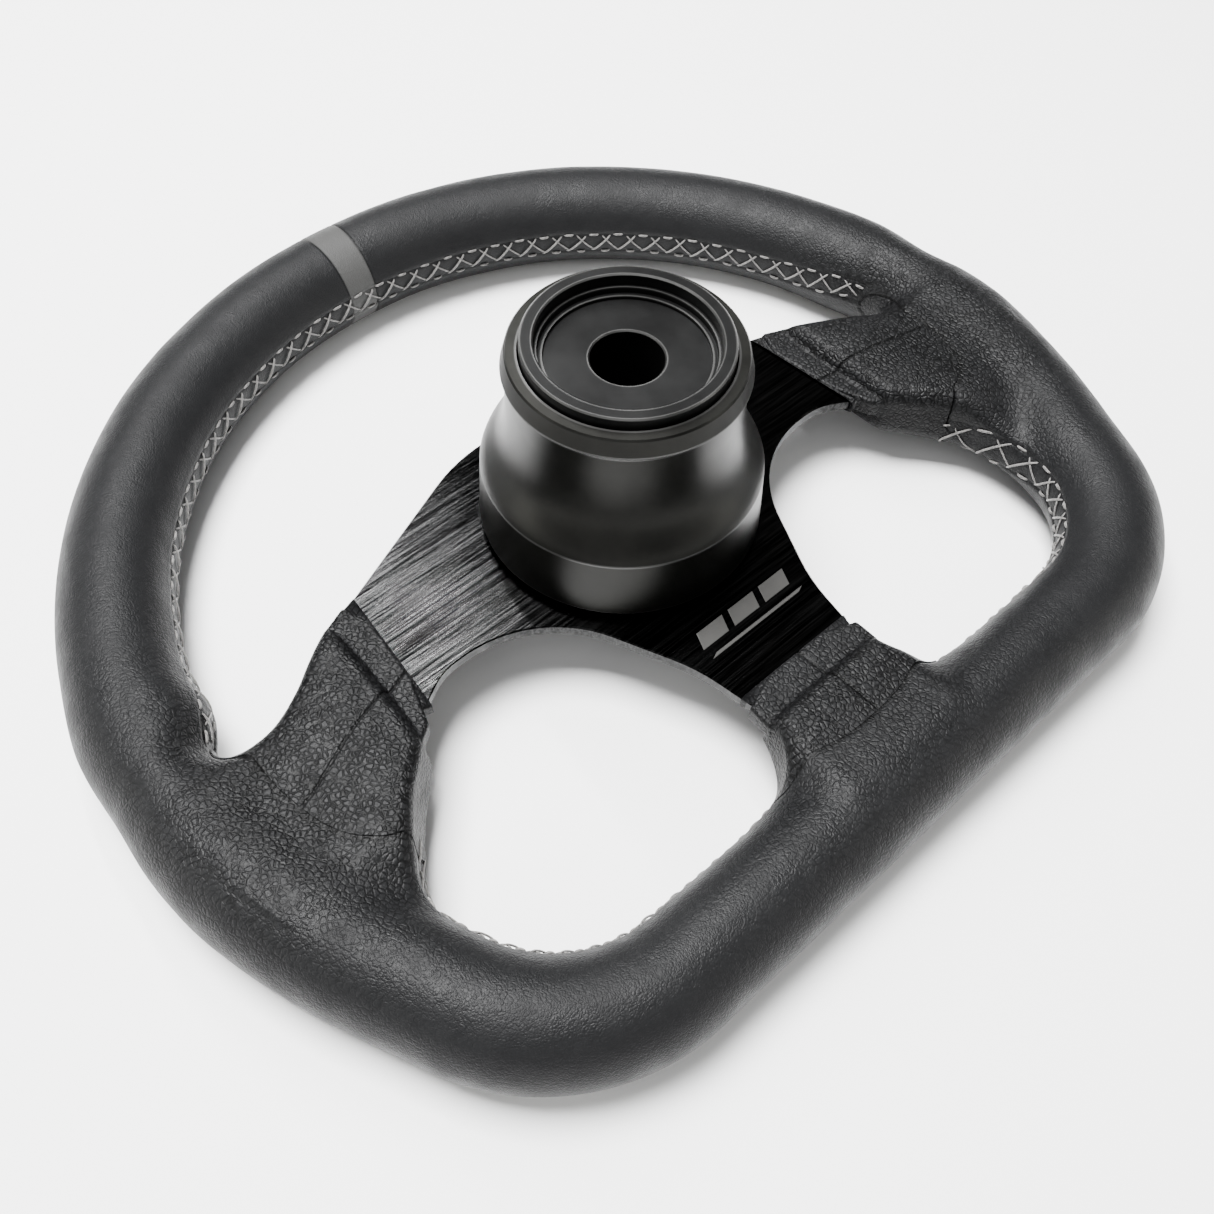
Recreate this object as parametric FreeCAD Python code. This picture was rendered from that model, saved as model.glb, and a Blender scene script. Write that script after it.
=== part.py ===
import FreeCAD, Part
import math
import os

V = FreeCAD.Vector

# ---------------------------------------------------------------- driving dimensions, mm
# Design heights are measured from the spoke plate's column-side face; +Z points to the
# column, +Y to twelve o'clock.  finish() moves everything so that the origin sits at the
# column end of the column bore's wall.

# rim
RIM_ARC_R = 157.3          # grip centreline radius of the round upper part
RIM_ARC_END_DEG = -24.0    # where the round part runs into the straight side
RIM_FLAT_Y = -118.0        # grip centreline height of the flat bottom
RIM_CORNER_R = 52.0        # corner between side and flat bottom
RIM_Z = -10.6              # grip centre plane
GRIP_R = 17.5              # outside of the leather
LEATHER_T = 1.2
CORE_R = 6.6               # round metal hoop
STRIPE_HALF_DEG = 2.37     # twelve o'clock stripe, half angle

# spoke plate
PLATE_T = 4.0
PLATE_EDGE_BREAK = 0.4
PLATE_CENTRE_HOLE_R = 27.0
PLATE_BOLT_HOLE_R = 2.75
SIDE_TAB_SHOULDER = (94.0, 21.0)
SIDE_TAB_WAIST = (122.0, 2.6)
SIDE_TAB_TIP = (150.0, -6.0)
SIDE_TAB_HEEL = (147.0, -50.0)
BOTTOM_TAB_HALF = 21.0
BOTTOM_TAB_END_Y = -121.0

# leather boots over the spoke ends
BOOT_TOP = 4.6
BOOT_BOTTOM = -13.5
BOOT_ROUND = 3.5
FLAP_T = 1.3

# bolt joint
BOLT_CIRCLE_R = 35.0
BOLT_COUNT = 6
BOLT_R = 2.5
BOLT_HEAD_R = 4.8
BOLT_HEAD_H = 2.4
BOLT_SOCKET_R = 1.7
BOLT_SOCKET_DEPTH = 1.6
THREAD_HOLE_R = 2.55
BOLT_RING_T = 2.5
BOLT_RING_OUT_R = 41.0
BOLT_RING_IN_R = 29.9

# driver-side cap
CAP_R = 29.4
CAP_RIM_H = 3.0
CAP_DOME_H = 5.0
CAP_SPIGOT_R = 26.8
CAP_SPIGOT_T = 1.8
CAP_SPIGOT_DEPTH = 3.4

# hub body
HUB_FLANGE_R = 41.0
HUB_FLANGE_T = 6.6
BARREL_R = 21.8
BARREL_TOP = 59.3
HUB_LEAD_BORE_R = 18.4
HUB_SPLINE_START = 4.0

# spline between hub and column adapter
SPLINE_TEETH = 24
SPLINE_CREST_R = 17.3
SPLINE_ROOT_R = 16.0
SPLINE_RADIAL_GAP = 0.1
SPLINE_CREST_SHARE = 0.36   # crest width as a share of one pitch
SPLINE_ROOT_SHARE = 0.34
SPLINE_FLANK_SHARE = 0.01   # side clearance as a share of one pitch

# ball lock
BALL_COUNT = 6
BALL_R = 3.0
BALL_SEAT_GAP = 0.05
BALL_CENTRE_R = 19.3
BALL_Z = 15.0
BALL_LIP_R = 2.72          # narrow inner end of each ball hole
BALL_LIP_END_R = 17.9
RAMP_SLOPE = 0.55          # radial ball travel per sleeve travel
RAMP_GAP = 0.03
RAMP_TOP = 17.0

# release sleeve
SLEEVE_BORE_R = 21.85
SLEEVE_BASE = 2.6
SLEEVE_BASE_R = 44.1
SLEEVE_WALL = 2.7
SLEEVE_EDGE = (42.8, 23.8)
FLARE_PROFILE = [(41.4, 27.2), (39.4, 30.7), (37.3, 34.8), (35.7, 39.6), (34.7, 45.2), (34.2, 51.8)]
NECK = (34.1, 59.4)
FLANGE_LOW = (35.2, 60.9)
FLANGE_TOP = (33.9, 66.0)
FLANGE_BREAK = 0.5
FLANGE_BORE_R = 30.3
WEB_TOP = 56.9
WEB_BOTTOM = 50.0
COLLAR_R = 25.9
COLLAR_BOTTOM = 11.4

# sleeve stop ring
STOP_GROOVE_R = 20.9
STOP_GROOVE_Z = 57.2
STOP_GROOVE_H = 1.1
STOP_RING_R = 24.2
STOP_RING_T = 1.0
STOP_RING_GAP_DEG = 16.0

# return spring
SPRING_R = 28.8
SPRING_WIRE_R = 1.2
SPRING_TURNS = 6
SPRING_END_GAP = 0.3
WASHER_T = 0.8
WASHER_IN_R = 26.6
WASHER_OUT_R = 31.0

# column adapter
ADAPTER_TIP = 9.5
ADAPTER_SEAT = 59.6
ADAPTER_FLOOR = 63.1
ADAPTER_TOP = 70.0
ADAPTER_R = 29.8
ADAPTER_RIM_IN_R = 25.85
ADAPTER_LEDGE = (24.9, 66.2)
ADAPTER_STEP = (23.4, 64.2)
ADAPTER_BREAK = 0.4
COLUMN_BORE_R = 10.5
TIP_CHAMFER = 1.2


# ---------------------------------------------------------------- helpers
def finish(shape, name):
    """Move a piece so that the column bore's wall ends at the origin, and write its file."""
    moved = shape.copy()
    moved.translate(V(0, 0, ADAPTER_BREAK - ADAPTER_FLOOR))
    moved.exportStep("parts/" + name + ".step")


def revolved(profile):
    """Solid of revolution about Z from (radius, height) corners."""
    corners = [V(r, 0, z) for r, z in profile]
    wire = Part.makePolygon(corners + [corners[0]])
    return Part.Face(wire).revolve(V(0, 0, 0), V(0, 0, 1), 360)


def disc(radius, bottom, top):
    return Part.makeCylinder(radius, top - bottom, V(0, 0, bottom))


def around(shape, count, start_deg=0.0):
    """Copies of a shape spread evenly around Z."""
    copies = []
    for i in range(count):
        turned = shape.copy()
        turned.rotate(V(0, 0, 0), V(0, 0, 1), start_deg + 360.0 * i / count)
        copies.append(turned)
    return copies


def rounded_outline(corners):
    """Closed wire through (x, y, radius) corners, each rounded by its own radius."""
    count = len(corners)
    edges = []
    joints = []
    for i in range(count):
        here = V(corners[i][0], corners[i][1], 0)
        before = V(corners[i - 1][0], corners[i - 1][1], 0) - here
        after = V(corners[(i + 1) % count][0], corners[(i + 1) % count][1], 0) - here
        before.normalize()
        after.normalize()
        radius = corners[i][2]
        if radius == 0:
            joints.append((here, here, here))
            continue
        half = before.getAngle(after) / 2
        reach = radius / math.tan(half)
        bisector = before + after
        bisector.normalize()
        middle = here + bisector * (radius / math.sin(half) - radius)
        joints.append((here + before * reach, middle, here + after * reach))
    for i in range(count):
        start, middle, end = joints[i]
        if start != end:
            edges.append(Part.Arc(start, middle, end).toShape())
        edges.append(Part.makeLine(end, joints[(i + 1) % count][0]))
    return Part.Wire(edges)


def slab(corners, bottom, top):
    face = Part.Face(rounded_outline(corners))
    face.translate(V(0, 0, bottom))
    return face.extrude(V(0, 0, top - bottom))


def mirrored(corners):
    return [(-x, y, r) for x, y, r in reversed(corners)]


# ---------------------------------------------------------------- rim
def rim_turn():
    """Corner geometry of the D: side direction, corner start, centre and end (right side)."""
    end = math.radians(RIM_ARC_END_DEG)
    side_start = V(RIM_ARC_R * math.cos(end), RIM_ARC_R * math.sin(end), 0)
    side_dir = V(math.sin(end), -math.cos(end), 0)
    reach = (RIM_FLAT_Y - side_start.y) / side_dir.y
    vertex = side_start + side_dir * reach
    turn = side_dir.getAngle(V(-1, 0, 0))
    cut = RIM_CORNER_R * math.tan(turn / 2)
    corner_start = vertex - side_dir * cut
    centre = V(vertex.x - cut, RIM_FLAT_Y + RIM_CORNER_R, 0)
    return side_start, side_dir, corner_start, centre, math.degrees(turn)


def section(outer_r, inner_r, at, along):
    """Ring (or disc, when inner_r is 0) standing across the grip's path."""
    centre = V(at.x, at.y, RIM_Z)
    face = Part.Face(Part.Wire(Part.makeCircle(outer_r, centre, along)))
    if inner_r > 0:
        face = face.cut(Part.Face(Part.Wire(Part.makeCircle(inner_r, centre, along))))
    return face


def arc_piece(outer_r, inner_r, start_deg, sweep_deg):
    a = math.radians(start_deg)
    at = V(RIM_ARC_R * math.cos(a), RIM_ARC_R * math.sin(a), 0)
    along = V(-math.sin(a), math.cos(a), 0)
    return section(outer_r, inner_r, at, along).revolve(V(0, 0, 0), V(0, 0, 1), sweep_deg)


def lower_right_pieces(outer_r, inner_r):
    """Side, corner and half of the flat bottom, from the round part to six o'clock."""
    side_start, side_dir, corner_start, centre, turn = rim_turn()
    side = section(outer_r, inner_r, side_start, side_dir)
    corner = section(outer_r, inner_r, corner_start, side_dir)
    flat = section(outer_r, inner_r, V(centre.x, RIM_FLAT_Y, 0), V(1, 0, 0))
    return [
        side.extrude(corner_start - side_start),
        corner.revolve(centre, V(0, 0, 1), -turn),
        flat.extrude(V(-centre.x, 0, 0)),
    ]


def half_rim(outer_r, inner_r, top_deg):
    """Right half of the rim from top_deg (measured from +X) down to six o'clock."""
    first = arc_piece(outer_r, inner_r, RIM_ARC_END_DEG, top_deg - RIM_ARC_END_DEG)
    return first.multiFuse(lower_right_pieces(outer_r, inner_r)).removeSplitter()


def left_of(shape):
    return shape.mirror(V(0, 0, 0), V(1, 0, 0))


def whole_rim(outer_r, inner_r):
    right = half_rim(outer_r, inner_r, 90.0)
    return right.fuse(left_of(right)).removeSplitter()


def rim_core():
    return whole_rim(CORE_R, 0)


def grip_foam(plate):
    return whole_rim(GRIP_R - LEATHER_T, CORE_R).cut(plate)


def wrap_right(plate):
    return half_rim(GRIP_R, GRIP_R - LEATHER_T, 90.0 - STRIPE_HALF_DEG).cut(plate)


def centre_stripe():
    start = 90.0 - STRIPE_HALF_DEG
    return arc_piece(GRIP_R, GRIP_R - LEATHER_T, start, 2 * STRIPE_HALF_DEG)


# ---------------------------------------------------------------- spokes
def plate_outline():
    """Right half of the spoke plate, clockwise from twelve o'clock."""
    right = [
        (28.0, 48.5, 60.0),
        (*SIDE_TAB_SHOULDER, 10.0),
        (*SIDE_TAB_WAIST, 15.0),
        (*SIDE_TAB_TIP, 4.0),
        (*SIDE_TAB_HEEL, 4.0),
        (80.0, -12.5, 20.0),
        (46.0, -12.5, 40.0),
        (24.3, -60.0, 60.0),
        (BOTTOM_TAB_HALF, -80.0, 0),
        (BOTTOM_TAB_HALF, BOTTOM_TAB_END_Y, 3.0),
    ]
    return right + mirrored(right)


def spoke_plate():
    plate = slab(plate_outline(), -PLATE_T, 0)
    rims = [e for e in plate.Edges if abs(e.BoundBox.ZMax - e.BoundBox.ZMin) < 1e-6]
    plate = plate.makeChamfer(PLATE_EDGE_BREAK, rims)
    plate = plate.cut(disc(PLATE_CENTRE_HOLE_R, -PLATE_T, 0))
    hole = Part.makeCylinder(PLATE_BOLT_HOLE_R, PLATE_T, V(BOLT_CIRCLE_R, 0, -PLATE_T))
    return plate.cut(Part.makeCompound(around(hole, BOLT_COUNT)))


def boot(flap, pad, plate, rim):
    """Padded leather boot: a thin flap on the plate and a thick pad that meets the rim."""
    thin = slab(flap, -PLATE_T - FLAP_T, FLAP_T)
    thick = slab(pad, BOOT_BOTTOM, BOOT_TOP)
    edges = [e for e in thick.Edges if abs(e.BoundBox.ZMax - e.BoundBox.ZMin) < 1e-6]
    thick = thick.makeChamfer(BOOT_ROUND, edges)
    return thick.fuse(thin).cut(plate).cut(rim).removeSplitter()


def side_boot(plate, rim):
    """Boot at three o'clock."""
    flap = [(84.8, 25.6, 1.0), (100.0, 19.5, 0), (104.0, -34.0, 0), (89.0, -21.5, 2.0)]
    pad = [
        (94.5, 23.0, 6.0),
        (128.0, 9.0, 14.0),
        (137.0, 24.0, 0),
        (150.0, 10.0, 0),
        (140.0, -72.0, 0),
        (122.0, -72.0, 0),
        (117.5, -51.0, 12.0),
        (97.5, -31.5, 8.0),
    ]
    return boot(flap, pad, plate, rim)


def bottom_boot(plate, rim):
    """Boot at six o'clock."""
    flap = [(23.0, -75.8, 1.0), (26.0, -88.0, 0), (-26.0, -88.0, 0), (-23.0, -75.8, 1.0)]
    right = [(24.5, -84.5, 5.0), (28.5, -98.0, 12.0), (43.0, -103.0, 0), (40.0, -112.0, 0)]
    return boot(flap, right + mirrored(right), plate, rim)


# ---------------------------------------------------------------- driver side
def bolt_ring():
    top = -PLATE_T
    bottom = top - BOLT_RING_T
    ring = disc(BOLT_RING_OUT_R, bottom, top).cut(disc(BOLT_RING_IN_R, bottom, top))
    low = V(BOLT_CIRCLE_R, 0, bottom)
    sink = Part.makeCone(BOLT_HEAD_R + 0.1, BOLT_R + 0.1, BOLT_HEAD_H, low)
    sink = sink.fuse(Part.makeCylinder(BOLT_R + 0.1, BOLT_RING_T, low))
    return ring.cut(Part.makeCompound(around(sink, BOLT_COUNT)))


def hub_bolt():
    """Countersunk screw that clamps bolt ring, plate and hub flange together."""
    bottom = -PLATE_T - BOLT_RING_T
    low = V(BOLT_CIRCLE_R, 0, bottom)
    head = Part.makeCone(BOLT_HEAD_R, BOLT_R, BOLT_HEAD_H, low)
    shank = Part.makeCylinder(BOLT_R, HUB_FLANGE_T - 0.4 - bottom, low)
    outline = [V(BOLT_CIRCLE_R, 0, bottom) + direction for direction in socket_corners()]
    socket = Part.Face(Part.makePolygon(outline + [outline[0]]))
    return head.fuse(shank).cut(socket.extrude(V(0, 0, BOLT_SOCKET_DEPTH))).removeSplitter()


def socket_corners():
    corners = []
    for i in range(6):
        a = math.radians(60.0 * i)
        corners.append(V(BOLT_SOCKET_R * math.cos(a), BOLT_SOCKET_R * math.sin(a), 0))
    return corners


def centre_cap():
    face = -PLATE_T - 0.1
    crown = face - CAP_RIM_H
    profile = [
        (0, face),
        (CAP_SPIGOT_R - CAP_SPIGOT_T, face),
        (CAP_SPIGOT_R - CAP_SPIGOT_T, face + CAP_SPIGOT_DEPTH),
        (CAP_SPIGOT_R, face + CAP_SPIGOT_DEPTH),
        (CAP_SPIGOT_R, face),
        (CAP_R, face),
        (CAP_R, crown + 1.0),
        (CAP_R - 1.0, crown),
        (CAP_R * 0.6, face - CAP_DOME_H + 0.6),
        (0, face - CAP_DOME_H),
    ]
    return revolved(profile)


# ---------------------------------------------------------------- spline and ball lock
def spline_bar(growth, bottom, top):
    """Toothed bar; growth is added to both radii, as for the matching hole."""
    crest = SPLINE_CREST_R + growth
    root = SPLINE_ROOT_R + growth
    pitch = 2 * math.pi / SPLINE_TEETH
    half_crest = pitch * SPLINE_CREST_SHARE / 2
    half_root = pitch * SPLINE_ROOT_SHARE / 2
    if growth > 0:
        half_crest += pitch * SPLINE_FLANK_SHARE
        half_root -= pitch * SPLINE_FLANK_SHARE
    corners = []
    for i in range(SPLINE_TEETH):
        mid = i * pitch
        corners.append(polar(crest, mid - half_crest, bottom))
        corners.append(polar(crest, mid + half_crest, bottom))
        corners.append(polar(root, mid + pitch / 2 - half_root, bottom))
        corners.append(polar(root, mid + pitch / 2 + half_root, bottom))
    face = Part.Face(Part.makePolygon(corners + [corners[0]]))
    return face.extrude(V(0, 0, top - bottom))


def polar(radius, angle, height):
    return V(radius * math.cos(angle), radius * math.sin(angle), height)


def ball_hole():
    """Radial hole for one ball, with a narrow inner lip that keeps the ball in."""
    start = V(SPLINE_ROOT_R - 2, 0, BALL_Z)
    lip = Part.makeCylinder(BALL_LIP_R, BARREL_R, start, V(1, 0, 0))
    seat_start = V(BALL_LIP_END_R, 0, BALL_Z)
    seat = Part.makeCylinder(BALL_R + BALL_SEAT_GAP, BARREL_R - BALL_LIP_END_R + 1, seat_start, V(1, 0, 0))
    outer = disc(BARREL_R + 1, BALL_Z - 2 * BALL_R, BALL_Z + 2 * BALL_R)
    return lip.fuse(seat).common(outer)


def ball():
    return Part.makeSphere(BALL_R, V(BALL_CENTRE_R, 0, BALL_Z))


def hub_body():
    profile = [
        (0, 0),
        (HUB_FLANGE_R, 0),
        (HUB_FLANGE_R, HUB_FLANGE_T - 0.6),
        (HUB_FLANGE_R - 0.6, HUB_FLANGE_T),
        (BARREL_R, HUB_FLANGE_T),
        (BARREL_R, STOP_GROOVE_Z),
        (STOP_GROOVE_R, STOP_GROOVE_Z),
        (STOP_GROOVE_R, STOP_GROOVE_Z + STOP_GROOVE_H),
        (BARREL_R, STOP_GROOVE_Z + STOP_GROOVE_H),
        (BARREL_R, BARREL_TOP - 0.5),
        (BARREL_R - 0.5, BARREL_TOP),
        (0, BARREL_TOP),
    ]
    body = revolved(profile)
    body = body.cut(disc(HUB_LEAD_BORE_R, 0, HUB_SPLINE_START))
    body = body.cut(spline_bar(SPLINE_RADIAL_GAP, HUB_SPLINE_START - 1, BARREL_TOP + 1))
    hole = Part.makeCylinder(THREAD_HOLE_R, HUB_FLANGE_T, V(BOLT_CIRCLE_R, 0, 0))
    body = body.cut(Part.makeCompound(around(hole, BOLT_COUNT)))
    return body.cut(Part.makeCompound(around(ball_hole(), BALL_COUNT)))


def ramp_radius(height):
    """Bore radius of the sleeve's ball ramp at a height; it touches each ball at rest."""
    angle = math.atan(RAMP_SLOPE)
    touch_r = BALL_CENTRE_R + BALL_R * math.cos(angle) + RAMP_GAP
    touch_z = BALL_Z - BALL_R * math.sin(angle)
    return touch_r + RAMP_SLOPE * (height - touch_z)


def ramp_start():
    return RAMP_TOP - (ramp_radius(RAMP_TOP) - SLEEVE_BORE_R) / RAMP_SLOPE


def release_sleeve():
    """Bell-shaped collar, pulled toward the driver to free the balls."""
    relief = ramp_radius(RAMP_TOP)
    inside = [
        (FLANGE_TOP[0] - FLANGE_BREAK, FLANGE_TOP[1] + FLANGE_BREAK),
        (FLANGE_BORE_R, FLANGE_TOP[1] + FLANGE_BREAK),
        (FLANGE_BORE_R, WEB_TOP),
        (SLEEVE_BORE_R, WEB_TOP),
        (SLEEVE_BORE_R, WEB_BOTTOM - 1),
        (relief, WEB_BOTTOM - 1),
        (relief, RAMP_TOP),
        (SLEEVE_BORE_R, ramp_start()),
        (SLEEVE_BORE_R, COLLAR_BOTTOM),
        (COLLAR_R, COLLAR_BOTTOM),
        (COLLAR_R, WEB_BOTTOM),
        (NECK[0] - SLEEVE_WALL, WEB_BOTTOM),
        (FLARE_PROFILE[4][0] - SLEEVE_WALL, FLARE_PROFILE[4][1]),
        (FLARE_PROFILE[2][0] - SLEEVE_WALL, FLARE_PROFILE[2][1] - 1),
        (FLARE_PROFILE[0][0] - SLEEVE_WALL, FLARE_PROFILE[0][1] - 1),
        (SLEEVE_BASE_R - SLEEVE_WALL, SLEEVE_EDGE[1] / 2),
        (SLEEVE_BASE_R - SLEEVE_WALL, SLEEVE_BASE),
        (SLEEVE_BASE_R - FLANGE_BREAK, SLEEVE_BASE),
        (SLEEVE_BASE_R, SLEEVE_BASE + FLANGE_BREAK),
        SLEEVE_EDGE,
    ]
    flare = Part.BSplineCurve()
    flare.interpolate([V(r, 0, z) for r, z in [SLEEVE_EDGE] + FLARE_PROFILE + [NECK]])
    rest = [NECK, FLANGE_LOW, FLANGE_TOP, inside[0]]
    path = [V(r, 0, z) for r, z in rest + inside[1:]]
    edges = [flare.toShape()]
    for start, end in zip(path[:-1], path[1:]):
        edges.append(Part.makeLine(start, end))
    return Part.Face(Part.Wire(edges)).revolve(V(0, 0, 0), V(0, 0, 1), 360)


def stop_ring():
    """Open snap ring that keeps the sleeve on the barrel."""
    bottom = STOP_GROOVE_Z + (STOP_GROOVE_H - STOP_RING_T) / 2
    ring = disc(STOP_RING_R, bottom, bottom + STOP_RING_T)
    ring = ring.cut(disc(STOP_GROOVE_R, bottom, bottom + STOP_RING_T))
    start = V(0, 0, bottom)
    gap = Part.makeCylinder(STOP_RING_R + 1, STOP_RING_T, start, V(0, 0, 1), STOP_RING_GAP_DEG)
    return ring.cut(gap)


def spring_washer():
    bottom = HUB_FLANGE_T
    top = bottom + WASHER_T
    return disc(WASHER_OUT_R, bottom, top).cut(disc(WASHER_IN_R, bottom, top))


def release_spring():
    bottom = HUB_FLANGE_T + WASHER_T + SPRING_WIRE_R
    top = WEB_BOTTOM - SPRING_END_GAP - SPRING_WIRE_R
    height = top - bottom
    helix = Part.makeHelix(height / SPRING_TURNS, height, SPRING_R)
    helix.translate(V(0, 0, bottom))
    start = V(SPRING_R, 0, bottom)
    wire = Part.Wire(Part.makeCircle(SPRING_WIRE_R, start, V(0, 1, 0)))
    return Part.Wire(helix).makePipeShell([wire], True, True)


def column_adapter():
    """Splined stub with a cup-shaped head; the steering shaft goes into its bore."""
    b = ADAPTER_BREAK
    head = [
        (0, ADAPTER_SEAT),
        (ADAPTER_R - b, ADAPTER_SEAT),
        (ADAPTER_R, ADAPTER_SEAT + b),
        (ADAPTER_R, ADAPTER_TOP - b),
        (ADAPTER_R - b, ADAPTER_TOP),
        (ADAPTER_RIM_IN_R + b, ADAPTER_TOP),
        (ADAPTER_RIM_IN_R, ADAPTER_TOP - b),
        (ADAPTER_RIM_IN_R, ADAPTER_LEDGE[1]),
        ADAPTER_LEDGE,
        (ADAPTER_LEDGE[0], ADAPTER_STEP[1]),
        ADAPTER_STEP,
        (ADAPTER_STEP[0], ADAPTER_FLOOR),
        (0, ADAPTER_FLOOR),
    ]
    stub = spline_bar(0, ADAPTER_TIP, ADAPTER_SEAT + 1)
    tip_r = SPLINE_CREST_R - TIP_CHAMFER
    tip = Part.makeCone(tip_r, SPLINE_CREST_R + 1, TIP_CHAMFER + 1, V(0, 0, ADAPTER_TIP))
    shaft = disc(SPLINE_CREST_R + 1, ADAPTER_TIP + TIP_CHAMFER + 1, ADAPTER_SEAT + 1)
    stub = stub.common(tip.fuse(shaft))
    stub = stub.cut(Part.makeTorus(BALL_CENTRE_R, BALL_R + BALL_SEAT_GAP, V(0, 0, BALL_Z)))
    adapter = revolved(head).fuse(stub)
    adapter = adapter.cut(disc(COLUMN_BORE_R, ADAPTER_TIP - 1, ADAPTER_FLOOR + 1))
    mouth = Part.makeCone(COLUMN_BORE_R, COLUMN_BORE_R + b, b, V(0, 0, ADAPTER_FLOOR - b))
    return adapter.cut(mouth).removeSplitter()


# ---------------------------------------------------------------- build
def main():
    os.makedirs("parts", exist_ok=True)
    plate = spoke_plate()
    rim = whole_rim(GRIP_R, 0)
    right_wrap = wrap_right(plate)
    right_boot = side_boot(plate, rim)
    finish(plate, "spoke_plate")
    finish(rim_core(), "rim_core")
    finish(grip_foam(plate), "grip_foam")
    finish(right_wrap, "wrap_right")
    finish(left_of(right_wrap), "wrap_left")
    finish(centre_stripe(), "centre_stripe")
    finish(right_boot, "boot_right")
    finish(left_of(right_boot), "boot_left")
    finish(bottom_boot(plate, rim), "boot_bottom")
    finish(bolt_ring(), "bolt_ring")
    finish(Part.makeCompound(around(hub_bolt(), BOLT_COUNT)), "hub_bolts")
    finish(centre_cap(), "centre_cap")
    finish(hub_body(), "hub_body")
    finish(release_sleeve(), "release_sleeve")
    finish(stop_ring(), "stop_ring")
    finish(spring_washer(), "spring_washer")
    finish(release_spring(), "release_spring")
    finish(column_adapter(), "column_adapter")
    for number, shape in enumerate(around(ball(), BALL_COUNT), start=1):
        finish(shape, "lock_ball_" + str(number))


main()
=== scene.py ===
import math

import bpy
import numpy as np
from mathutils import Matrix, Vector


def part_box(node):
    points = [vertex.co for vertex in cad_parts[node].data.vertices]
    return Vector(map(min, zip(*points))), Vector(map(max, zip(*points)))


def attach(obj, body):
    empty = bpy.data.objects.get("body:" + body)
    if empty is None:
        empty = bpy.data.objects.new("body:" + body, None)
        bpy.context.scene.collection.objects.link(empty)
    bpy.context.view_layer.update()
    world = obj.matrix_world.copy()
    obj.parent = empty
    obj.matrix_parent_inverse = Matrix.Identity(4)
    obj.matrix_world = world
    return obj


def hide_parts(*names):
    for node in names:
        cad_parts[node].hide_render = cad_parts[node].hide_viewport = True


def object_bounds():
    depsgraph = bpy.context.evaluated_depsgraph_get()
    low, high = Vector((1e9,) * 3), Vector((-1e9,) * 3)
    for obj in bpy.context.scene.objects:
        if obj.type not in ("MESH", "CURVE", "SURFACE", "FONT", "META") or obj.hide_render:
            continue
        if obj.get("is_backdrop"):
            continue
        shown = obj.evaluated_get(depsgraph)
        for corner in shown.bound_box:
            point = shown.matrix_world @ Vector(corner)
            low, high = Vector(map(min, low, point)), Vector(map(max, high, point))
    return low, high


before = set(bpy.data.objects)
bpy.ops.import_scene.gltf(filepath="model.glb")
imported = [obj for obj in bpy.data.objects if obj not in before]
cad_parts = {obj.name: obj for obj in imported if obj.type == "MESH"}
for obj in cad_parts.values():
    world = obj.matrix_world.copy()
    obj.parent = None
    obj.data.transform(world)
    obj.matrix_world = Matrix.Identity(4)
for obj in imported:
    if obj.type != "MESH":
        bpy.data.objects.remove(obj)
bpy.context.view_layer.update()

MM = 0.001
RNG = np.random.default_rng(7)

# ------------------------------------------------------------------ frame of the drawing
# Design heights count from the spoke plate's column-side face, as in the CAD.
PLATE_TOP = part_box("spoke_plate")[1][2] / MM
RIM_Z = PLATE_TOP - 10.6
RIM_ARC_R = 157.3
RIM_ARC_END = math.radians(-24.0)
RIM_FLAT_Y = -118.0
RIM_CORNER_R = 52.0


def rim_dimensions():
    start = np.array([RIM_ARC_R * math.cos(RIM_ARC_END), RIM_ARC_R * math.sin(RIM_ARC_END)])
    way = np.array([math.sin(RIM_ARC_END), -math.cos(RIM_ARC_END)])
    vertex = start + way * ((RIM_FLAT_Y - start[1]) / way[1])
    turn = math.acos(-way[0])
    cut = RIM_CORNER_R * math.tan(turn / 2)
    corner = vertex - way * cut
    centre = np.array([vertex[0] - cut, RIM_FLAT_Y + RIM_CORNER_R])
    return start, way, corner, centre, turn


SIDE_START, SIDE_WAY, CORNER_START, CORNER_CENTRE, CORNER_TURN = rim_dimensions()
LEN_ARC = RIM_ARC_R * (math.pi / 2 - RIM_ARC_END)
LEN_SIDE = float(np.linalg.norm(CORNER_START - SIDE_START))
LEN_CORNER = RIM_CORNER_R * CORNER_TURN
HALF = LEN_ARC + LEN_SIDE + LEN_CORNER + CORNER_CENTRE[0]


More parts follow.
